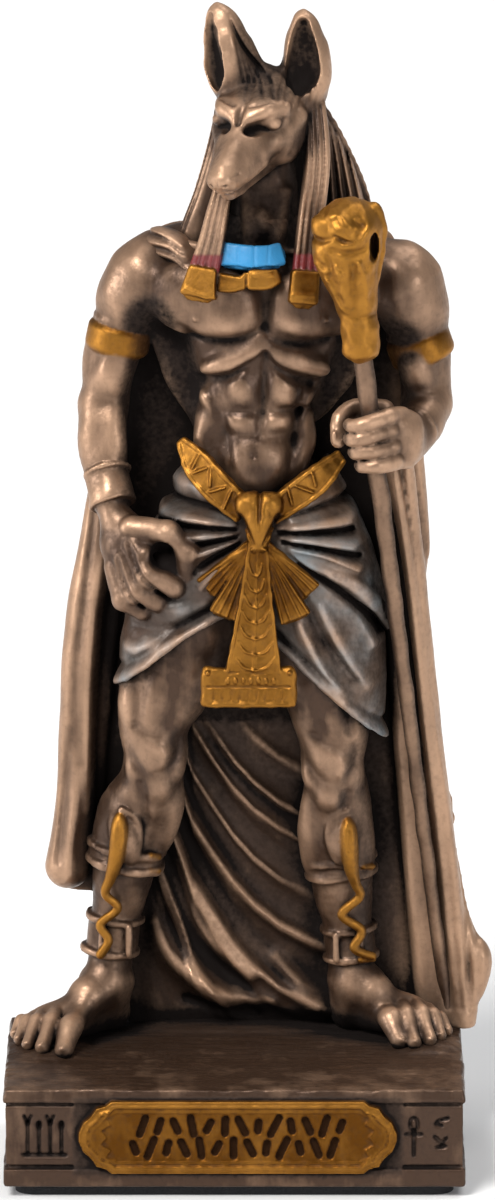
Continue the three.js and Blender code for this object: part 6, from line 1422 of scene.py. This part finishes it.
# each piece: the block it is carved in, its triangles, and the pitch and depth of its unevenness
print("carving the body")
bodyGrid = {"low": (-23, -10, -0.4), "high": (23, 8, 80), "step": 0.2, "triangles": 190000,
            "skinWaves": (1.3, 0.11), "clothWaves": (1.7, 0.1)}
body = newLayers(("skin", "cloth", "gold"), bodyGrid)
carveSkin(body["skin"])
carveShaft(body["skin"])
carveKilt(body["cloth"])
carveBands(body["skin"], body["gold"])
carveSnakes(body["skin"], body["gold"])
roughen(body["skin"], *bodyGrid["skinWaves"])
roughen(body["cloth"], *bodyGrid["clothWaves"])
levelSoles(body)
shaft = Layer((8, -11, -1), (24, 6, 72), wholeGrid["step"])
carveShaft(shaft)
godBody, bodyWhole = makePiece("godBody", body, bodyGrid)

print("carving the head")
headGrid = {"low": (-8, -11.5, 71), "high": (17, 8.5, 101.5), "step": 0.13, "triangles": 150000,
            "skinWaves": (2.1, 0.08), "soft": 0.08}
head = newLayers(("skin", "wig", "gold", "blue"), headGrid)
carveNeck(head["skin"])
carveHead(head["skin"])
carveEars(head["skin"])
carveHeadcloth(head["wig"])
carveCollar(head["gold"], head["blue"])
roughen(head["skin"], *headGrid["skinWaves"])
earFill = Layer((-8, -11.5, 88), headGrid["high"], headGrid["step"] * 2)
carveEars(earFill, True)
godHead, headWhole = makePiece("godHead", head, headGrid)

print("carving the sash and the staff's head")
sashGrid = {"low": (-7, -9.5, 32), "high": (12.5, 0, 60.5), "step": 0.12, "triangles": 80000,
            "waves": (3.1, 0.07)}
sash = newLayers(("gold",), sashGrid)
carveSash(sash["gold"])
roughen(sash["gold"], *sashGrid["waves"])
godSash, sashWhole = makePiece("godSash", sash, sashGrid)
staffGrid = {"low": (6, -13, 66), "high": (16, -5, 85), "step": 0.12, "triangles": 40000, "waves": (2.7, 0.1)}
staffHead = newLayers(("gold",), staffGrid)
carveStaffHead(staffHead["gold"])
roughen(staffHead["gold"], *staffGrid["waves"])
staffTopPiece, staffWhole = makePiece("staffHead", staffHead, staffGrid)

print("carving the cape")
capeGrid = {"low": (-21, -6, -0.4), "high": (26.5, 9, 82), "step": 0.24, "triangles": 120000,
            "waves": (0.8, 0.06)}
cape = newLayers(("cape",), capeGrid)
carveCape(cape["cape"])
roughen(cape["cape"], *capeGrid["waves"])
levelSoles(cape)
godCape, capeWhole = makePiece("godCape", cape, capeGrid)

print("carving the plinth")
plinthGrid = {"low": (-18.2, -11.2, 0.4), "high": (18.2, 10.8, 9.4), "step": 0.13, "triangles": 185000,
              "soft": 0.05}
block = newLayers(("stone", "gold"), plinthGrid)
carvePlinth(block["stone"], block["gold"])
plinthBlock, blockWhole = makePiece("plinthBlock", block, plinthGrid, lambda p: np.asarray(p) / 1000)

print("shading")
bodyWearAndShade = {  # how strongly the painted shade and the wash stay, then how much more or less is rubbed
    "throat": 0.75, "flanks": 1.2, "armpits": 1.4, "innerArms": 0.9, "innerLegs": 0.4, "kiltSides": 0.6,
    "staffSides": 0.7, "belly": 0.6, "feet": 0.25,
    "handsRubbed": 0.5, "shinsRubbed": 0.16, "feetRubbed": 0.3, "staffRubbed": 0.5, "chestRubbed": 0.1,
    "kiltRubbed": 0.2,
}
# the cheek shares are painted shade on the sides of the head; the crown share darkens the crown
headShadeAndTone = {"crown": 0.85, "cheeks": 0.6, "cheekRight": 0.7}
# the last share: how much painted shade stays on the lower part of the cape's inner face
capeWearAndShade = {"skirtHollow": 0.7, "skirtRubbed": 0.6, "edgeRubbed": 0.5, "backRubbed": 0.18, "lowShadeBehindBody": 0.4}
# the first share is painted shade on the top round the feet, the last wash and painted shade round the plaque
plinthWearAndShade = {"stand": 0.18, "rubbed": 0.12, "giltRubbed": 0.85, "frontRubbed": 0.12, "plaqueGap": 0.7}
trimRubbing = {"plate": 0.75, "sash": 0.95, "staffHead": 1.3}


def spot(x, z, middle, size, reach):
    return before(np.hypot(x - middle[0], z - middle[1]), size, reach)


def strip(v, middle, half, reach):
    return before(np.abs(v - middle), half, reach)


def deepen(obj, amount):
    setShare(obj, "deep", np.maximum(shareOf(obj, "deep"), amount))


# painted shade on the throat, under the head
def throatOf(px, pz):
    return strip(px, 2.6, 4.6, 1.2) * before(pz, 84, 3) * past(pz, 76.2, 1) * bodyWearAndShade["throat"]


def paintBody(obj, points):
    (px, py, pz), nx, amount = points.T, normalsOf(obj)[:, 0], bodyWearAndShade
    gilt, kilt = nearestPaint(body, points, "gold"), nearestPaint(body, points, "cloth")
    # painted shade on the flanks behind the arms, and the staff is rubbed less than the limbs
    aside = np.abs(px - 2.5)
    flank = past(aside, 4.7, 1.6) * before(aside, 10.6, 1.2)
    flank = amount["flanks"] * flank * past(py, -2.4, 1.6) * past(pz, 54, 3) * before(pz, 71.5, 2.5)
    # painted shade too on the sides of the limbs that face the trunk, on all below the waist that faces
    # right, and on the lap by the hand and inside the ring of its fingers
    inner = past(-nx * np.sign(px - 2.5), 0.25, 0.6) * past(aside, 6.5, 1.5)
    inner = inner * np.where(pz > 49, amount["innerArms"], amount["innerLegs"])
    inner = np.maximum(inner, amount["kiltSides"] * past(nx, 0.25, 0.6) * (pz < 49))
    lap = spot(px, pz, (-6.6, 47.6), 3.2, 1.6) * kilt
    ring = spot(px, pz, (-6.7, 48.3), 1.9, 0.7) * past(py, -5.9, 0.6)
    staff = np.where(shaft.sample(points) < 0.15, 1, 0)
    paintedShade = np.maximum(np.maximum(flank, np.maximum(lap, ring)), inner * (1 - staff))
    # painted shade down the sides of the round staff
    paintedShade = np.maximum(paintedShade, staff * past(np.abs(nx), 0.45, 0.5) * amount["staffSides"])
    # painted shade in the armpits
    for middle in ((-7.9, 70), (15, 67.8)):
        armpit = spot(px, pz, middle, 3.2, 1.6) * (1 - gilt) * amount["armpits"]
        paintedShade = np.maximum(paintedShade, armpit * (1 - staff))
    paintedShade = np.maximum(paintedShade, throatOf(px, pz))
    # the belly keeps less of the painted shade
    belly = strip(px, 2.2, 4.2, 1.2) * past(pz, 53.5, 2) * before(pz, 72, 6)
    setShare(obj, "deep", np.maximum(shareOf(obj, "deep") * (1 - amount["belly"] * belly), paintedShade))
    setShare(obj, "hollow", shareOf(obj, "hollow") * (1 - amount["feet"] * before(pz, 7.5, 1)))
    hands = before(pz, 51, 1) * before(px, -3.8, 0.5) * (kilt < 0.5) * (pz > 40)
    legs = amount["shinsRubbed"] * (pz < 38) - amount["feetRubbed"] * (pz < 7.5)
    dulled = np.maximum(np.maximum(amount["handsRubbed"] * hands, legs), amount["staffRubbed"] * staff)
    chest = amount["chestRubbed"] * np.maximum(belly, past(pz, 68, 2) * strip(px, 2.7, 8, 2))
    chest = chest + amount["kiltRubbed"] * kilt * past(px, 3, 2)
    setShare(obj, "proud", shareOf(obj, "proud") * (1 - dulled) + chest)
    return {"gilt": gilt, "kiltTint": kilt}


def paintHead(obj, points):
    (px, py, pz), nx = points.T, normalsOf(obj)[:, 0]
    gilt, blue, wig = (nearestPaint(head, points, name) for name in ("gold", "blue", "wig"))
    # painted shade inside the ear hollows
    pit = past(-earFill.sample(points), 0.2, 0.6) * past(pz, 89, 1.5)
    crown = past(pz, 90.6, 1.4) * before(pz, 101 - 1.3 * np.clip(px, 0, 9), 2)
    crown = crown * past(px, -0.3, 0.9) * before(px, 8.6, 1.5) * headShadeAndTone["crown"]
    # painted shade on the sides of the muzzle and cheeks that face sideways
    cheeks = np.maximum(past(-nx, 0.3, 0.6), headShadeAndTone["cheekRight"] * past(nx, 0.45, 0.5))
    cheeks = cheeks * before(pz, 90, 2) * past(pz, 78, 2) * (1 - wig) * headShadeAndTone["cheeks"]
    # painted shade on the throat under the head
    throat = throatOf(px, pz) * past(py, -4.6, 0.8) * (1 - wig)
    deepen(obj, np.max([pit, cheeks, crown, throat], axis=0))
    red = wig * past(pz, 75.2, 0.2) * before(pz, 77, 0.2) * before(py, -2, 0.2)
    return {"gilt": gilt, "blueEnamel": blue, "redEnamel": red}


def paintCape(obj, points):
    px, py, pz = points.T
    # painted shade on the cape's inner face behind the body and legs, as far as the folds that stand out of
    # it
    shadeBehindBody = past(px, -13.5, 2) * before(px, 15.5 - 0.1 * (40 - pz) * (pz < 40), 2)
    shadeBehindBody = shadeBehindBody * before(py, 4.6, 0.5) * before(pz, 77, 3) * past(py, 0.2, 1.6)
    skirts = before(pz, 32, 3) * strip(px, 0, 10, 2) * before(py, 4, 1)
    rubbed = capeWearAndShade["edgeRubbed"] * past(px, 14, 3) + capeWearAndShade["backRubbed"] * past(py, 4.6, 0.8)
    setShare(obj, "hollow", shareOf(obj, "hollow") * (1 + capeWearAndShade["skirtHollow"] * skirts))
    setShare(obj, "proud", shareOf(obj, "proud") * (1 + capeWearAndShade["skirtRubbed"] * skirts) + rubbed)
    deepen(obj, shadeBehindBody * np.where(pz > 30, 1, capeWearAndShade["lowShadeBehindBody"]))
    return {}


def paintPlinth(obj, points):
    px, py, pz = points.T
    gilt = nearestPaint(block, points, "gold", 0.08)
    amount = plinthWearAndShade
    # painted shade on the back part of the top, where the god's feet and cape stand
    onTop = past(pz, plinth["top"] - 0.4, 0.3)
    setShare(obj, "hollow", shareOf(obj, "hollow") + amount["stand"] * past(py, -3, 3) * onTop)
    rubbing = amount["rubbed"] + (amount["giltRubbed"] - amount["rubbed"]) * gilt
    inFront = amount["frontRubbed"] * onTop * before(py, -3, 4)
    setShare(obj, "proud", shareOf(obj, "proud") * rubbing + inFront)
    # the strokes are filled with wash, and the gap round the plaque with wash and painted shade
    across, front = np.abs(px - plinth["plaqueShift"]), py < -9.6
    sunk = past(py, plinth["sink"] + 0.08 - plinth["plaqueFace"], 0.12) * front
    sunk = sunk * before(across, plinth["strokesWidth"] / 2 + 0.8, 0.3) * gilt
    around = (1 - gilt) * before(across, plinth["plaqueWidth"] / 2 + 0.7, 0.6) * front
    around = around * strip(pz, panelMiddle, plinth["plaqueHeight"] / 2 + 0.35, 0.3) * amount["plaqueGap"]
    deepen(obj, np.maximum(sunk, around))
    return {"gilt": gilt}


def paintTrim(obj, points):
    rubbing = trimRubbing["staffHead"]
    if obj is godSash:
        rubbing = np.where(points[:, 2] < 38.4, trimRubbing["plate"], trimRubbing["sash"])
    setShare(obj, "proud", shareOf(obj, "proud") * rubbing)
    return {"gilt": np.ones(len(points))}


castPieces = (
    (godBody, bodyWhole, paintBody), (godHead, headWhole, paintHead), (godSash, sashWhole, paintTrim),
    (staffTopPiece, staffWhole, paintTrim), (godCape, capeWhole, paintCape),
    (plinthBlock, blockWhole, paintPlinth),
)
for obj, whole, paint in castPieces:
    inBlock = obj is plinthBlock
    points = pointsOf(obj) * 1000 if inBlock else toFigure(pointsOf(obj))
    shadePiece(obj, points, whole, shade, inBlock)
    paints = paint(obj, points)
    for name in ("gilt", "kiltTint", "blueEnamel", "redEnamel"):
        setShare(obj, name, paints.get(name, np.zeros(len(points))))
    node = "plinth" if inBlock else "anubis_figure"
    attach(obj, "root")
    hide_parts(node)


print("mixing the finishes")
finish = {
    "high": (0.475, 0.29, 0.182),  # rubbed copper, linear colour
    "mid": (0.064, 0.034, 0.020),
    # dark wash in creases, the same colour laid as painted shade in deep places
    "washAndShadeColour": (0.0085, 0.0058, 0.005),
    "gilt": (0.118, 0.043, 0.004),
    "giltHigh": (0.40, 0.18, 0.03),
    # the same wash and painted shade over gilt
    "giltDark": (0.022, 0.008, 0.002),
    "kilt": (0.054, 0.050, 0.045),
    "kiltHigh": (0.23, 0.25, 0.26),
    "blue": (0.035, 0.27, 0.56),
    "red": (0.17, 0.022, 0.022),
    "roughness": 0.41,
    "metallic": 0.6,
    "grain": 2600,  # per metre
    "patches": 260,
    "streaks": 700,
    "streakStretch": (1, 1, 0.25),
    "unevenStreaks": 0.65,
    "rubbedBias": -0.07,
    "kiltWear": (2.8, 0.4),  # how patchy the kilt's paint is, and how much of it is left
    "washGrain": 0.55,
    "washStrength": 1.15,
    # how much painted shade the deep share lays on
    "deepShade": 0.85,
    "giltShine": 0.55,
    "washRoughness": 0.4,
    "bump": 0.35,
    "bumpHeight": 0.00008,
}
feltFinish = {"dark": (0.004, 0.004, 0.004), "light": (0.03, 0.03, 0.032), "nap": 5200, "roughness": 0.95,
              "bump": 0.6, "bumpHeight": 0.0001}


def newMaterial(name):
    material = bpy.data.materials.new(name)
    material.use_nodes = True
    tree = material.node_tree
    return material, tree, tree.nodes["Principled BSDF"]


def share(tree, name):
    node = tree.nodes.new("ShaderNodeAttribute")
    node.attribute_name = name
    return node.outputs["Fac"]


def feed(tree, value, socket):
    # a constant goes straight onto the socket
    if isinstance(value, (int, float)):
        socket.default_value = value
    elif isinstance(value, tuple):
        socket.default_value = (*value, 1)
    else:
        tree.links.new(value, socket)


def maths(tree, operation, a, b=None, c=None, limit=False):
    node = tree.nodes.new("ShaderNodeMath")
    node.operation, node.use_clamp = operation, limit
    for socket, value in zip(node.inputs, (a, b, c)):
        if value is not None:
            feed(tree, value, socket)
    return node.outputs[0]


def blend(tree, amount, a, b):
    node = tree.nodes.new("ShaderNodeMix")
    node.data_type = "RGBA"
    for name, value in (("Factor", amount), ("A", a), ("B", b)):
        feed(tree, value, node.inputs[name])
    return node.outputs["Result"]


def relief(tree, shader, height, amounts):
    bump = tree.nodes.new("ShaderNodeBump")
    bump.inputs["Strength"].default_value = amounts["bump"]
    bump.inputs["Distance"].default_value = amounts["bumpHeight"]
    tree.links.new(height, bump.inputs["Height"])
    tree.links.new(bump.outputs["Normal"], shader.inputs["Normal"])


def noise(tree, scale, detail, roughness=0.5, stretch=None):
    # evenly spread, from about -0.5 to 0.5
    node = tree.nodes.new("ShaderNodeTexNoise")
    place = tree.nodes.new("ShaderNodeTexCoord").outputs["Object"]
    if stretch:
        mapping = tree.nodes.new("ShaderNodeMapping")
        mapping.inputs["Scale"].default_value = stretch
        tree.links.new(place, mapping.inputs["Vector"])
        place = mapping.outputs["Vector"]
    tree.links.new(place, node.inputs["Vector"])
    node.inputs["Scale"].default_value = scale
    node.inputs["Detail"].default_value = detail
    node.inputs["Roughness"].default_value = roughness
    return maths(tree, "SUBTRACT", node.outputs["Fac"], 0.5)


def castResin():
    material, tree, shader = newMaterial("bronzedResin")
    add, times, scaled = (functools.partial(maths, tree, kind) for kind in ("ADD", "MULTIPLY",
        "MULTIPLY_ADD"))
    tint = functools.partial(blend, tree)
    grain, patches = noise(tree, finish["grain"], 3), noise(tree, finish["patches"], 4)
    streaks = noise(tree, finish["streaks"], 3, 0.6, finish["streakStretch"])
    names = ("hollow", "deep", "proud", "gilt", "kiltTint", "blueEnamel", "redEnamel")
    hollow, deep, proud, gilt, kilt, blue, red = (share(tree, name) for name in names)
    # colour: bronze or paint rubbed bright on what stands proud, then the dark wash and the painted shade
    # over it
    uneven = scaled(streaks, finish["unevenStreaks"], patches)
    rubbed = add(add(proud, finish["rubbedBias"]), uneven, limit=True)
    bronze, cloth, gilding = (tint(rubbed, finish[dark], finish[light]) for dark, light in (
        ("mid", "high"), ("kilt", "kiltHigh"), ("gilt", "giltHigh")))
    painted = times(kilt, scaled(patches, *finish["kiltWear"], limit=True))
    colour = tint(gilt, tint(painted, bronze, cloth), gilding)
    colour = tint(red, tint(blue, colour, finish["blue"]), finish["red"])
    washAndShade = times(scaled(grain, finish["washGrain"], hollow), finish["washStrength"])
    # painted shade: the deep share is added to the wash, and blue enamel takes less of both
    washAndShade = times(scaled(deep, finish["deepShade"], washAndShade, limit=True), scaled(blue, -0.6, 1))
    colour = tint(washAndShade, colour, tint(gilt, finish["washAndShadeColour"], finish["giltDark"]))
    # the wash, the painted shade and the paints are duller than the metal, and rougher
    enamel = add(blue, red, limit=True)
    dull = maths(tree, "MAXIMUM", maths(tree, "MAXIMUM", washAndShade, enamel), times(kilt, 0.7))
    metallic = times(maths(tree, "SUBTRACT", 1, dull, limit=True), finish["metallic"])
    metallic = scaled(times(gilt, metallic), finish["giltShine"], metallic)
    rough = scaled(gilt, 0.06, scaled(washAndShade, finish["washRoughness"], finish["roughness"]))
    rough = scaled(patches, 0.25, scaled(grain, 0.3, rough))
    for name, value in (("Base Color", colour), ("Metallic", metallic), ("Roughness", rough),
                        ("Specular IOR Level", scaled(washAndShade, -0.4, 0.5))):
        tree.links.new(value, shader.inputs[name])
    relief(tree, shader, add(grain, streaks), finish)
    return material


def feltCloth():
    material, tree, shader = newMaterial("blackFelt")
    nap = maths(tree, "ADD", noise(tree, feltFinish["nap"], 3), 0.5, limit=True)
    tree.links.new(blend(tree, nap, feltFinish["dark"], feltFinish["light"]), shader.inputs["Base Color"])
    shader.inputs["Roughness"].default_value = feltFinish["roughness"]
    relief(tree, shader, nap, feltFinish)
    return material


def cover(obj, material):
    obj.data.materials.clear()
    obj.data.materials.append(material)


resin = castResin()
for obj, *_ in castPieces:
    cover(obj, resin)
cover(frame["nodes"]["felt_pad"], feltCloth())


print("setting the stage")
studio = {
    "cameraDistance": 0.7,
    "cameraRise": 13.5,  # degrees above level
    "target": (0.001, 0, 0.04455),
    "lens": 274.9,
    "sensorWidth": 36,
    "lightTarget": (0, 0, 0.045),
    "skyTint": (0.95, 0.97, 1),
    "skyStrength": 0.26,
    "floorTint": (0.9, 0.9, 0.9),
    "floorHalf": 2,
}
softSuns = {  # direction that the light comes from, strength, angle, tint
    "keySun": ((-0.50, -0.75, 1.1), 2.7, 22, (1, 0.985, 0.96)),
    "topSun": ((0.35, 0.25, 1.2), 1, 35, (1, 1, 1)),
}
softBoxes = {  # place, size, power, tint
    "fillBox": ((0.36, -0.42, 0.16), 0.22, 0.7, (0.96, 0.98, 1)),
    "leftBox": ((-0.45, -0.10, 0.14), 0.16, 0.9, (1, 1, 1)),
}


def lookAt(obj, place, target):
    obj.location = Vector(place)
    obj.rotation_euler = (Vector(target) - Vector(place)).to_track_quat("-Z", "Y").to_euler()


def newLight(name, kind, place, power, tint):
    light = bpy.data.objects.new(name, bpy.data.lights.new(name, kind))
    light.data.energy, light.data.color = power, tint
    bpy.context.scene.collection.objects.link(light)
    lookAt(light, place, studio["lightTarget"])
    return light


tilt = math.radians(studio["cameraRise"])
camera = bpy.data.objects.new("camera", bpy.data.cameras.new("camera"))
bpy.context.scene.collection.objects.link(camera)
camera.data.lens = studio["lens"]
camera.data.sensor_width = studio["sensorWidth"]
camera.data.sensor_fit = "AUTO"
camera.data.clip_start, camera.data.clip_end = 0.01, 20
target = Vector(studio["target"])
lookAt(camera, target + Vector((0, -math.cos(tilt), math.sin(tilt))) * studio["cameraDistance"], target)
bpy.context.scene.camera = camera

for name, (place, power, angle, tint) in softSuns.items():
    newLight(name, "SUN", place, power, tint).data.angle = math.radians(angle)
for name, (place, size, power, tint) in softBoxes.items():
    newLight(name, "AREA", place, power, tint).data.size = size

world = bpy.data.worlds.new("studio")
world.use_nodes = True
sky = world.node_tree.nodes["Background"]
sky.inputs["Color"].default_value = (*studio["skyTint"], 1)
sky.inputs["Strength"].default_value = studio["skyStrength"]
bpy.context.scene.world = world
bpy.context.scene.view_settings.view_transform = "Standard"

corners = np.array([(-1, -1, 0), (1, -1, 0), (1, 1, 0), (-1, 1, 0)], float) * studio["floorHalf"]
floor = meshFrom("floor", corners, np.array([[0, 1, 2, 3]]))
paper, tree, shader = newMaterial("palePaper")
shader.inputs["Base Color"].default_value = (*studio["floorTint"], 1)
shader.inputs["Roughness"].default_value = 0.9
floor.data.materials.append(paper)

print("done")
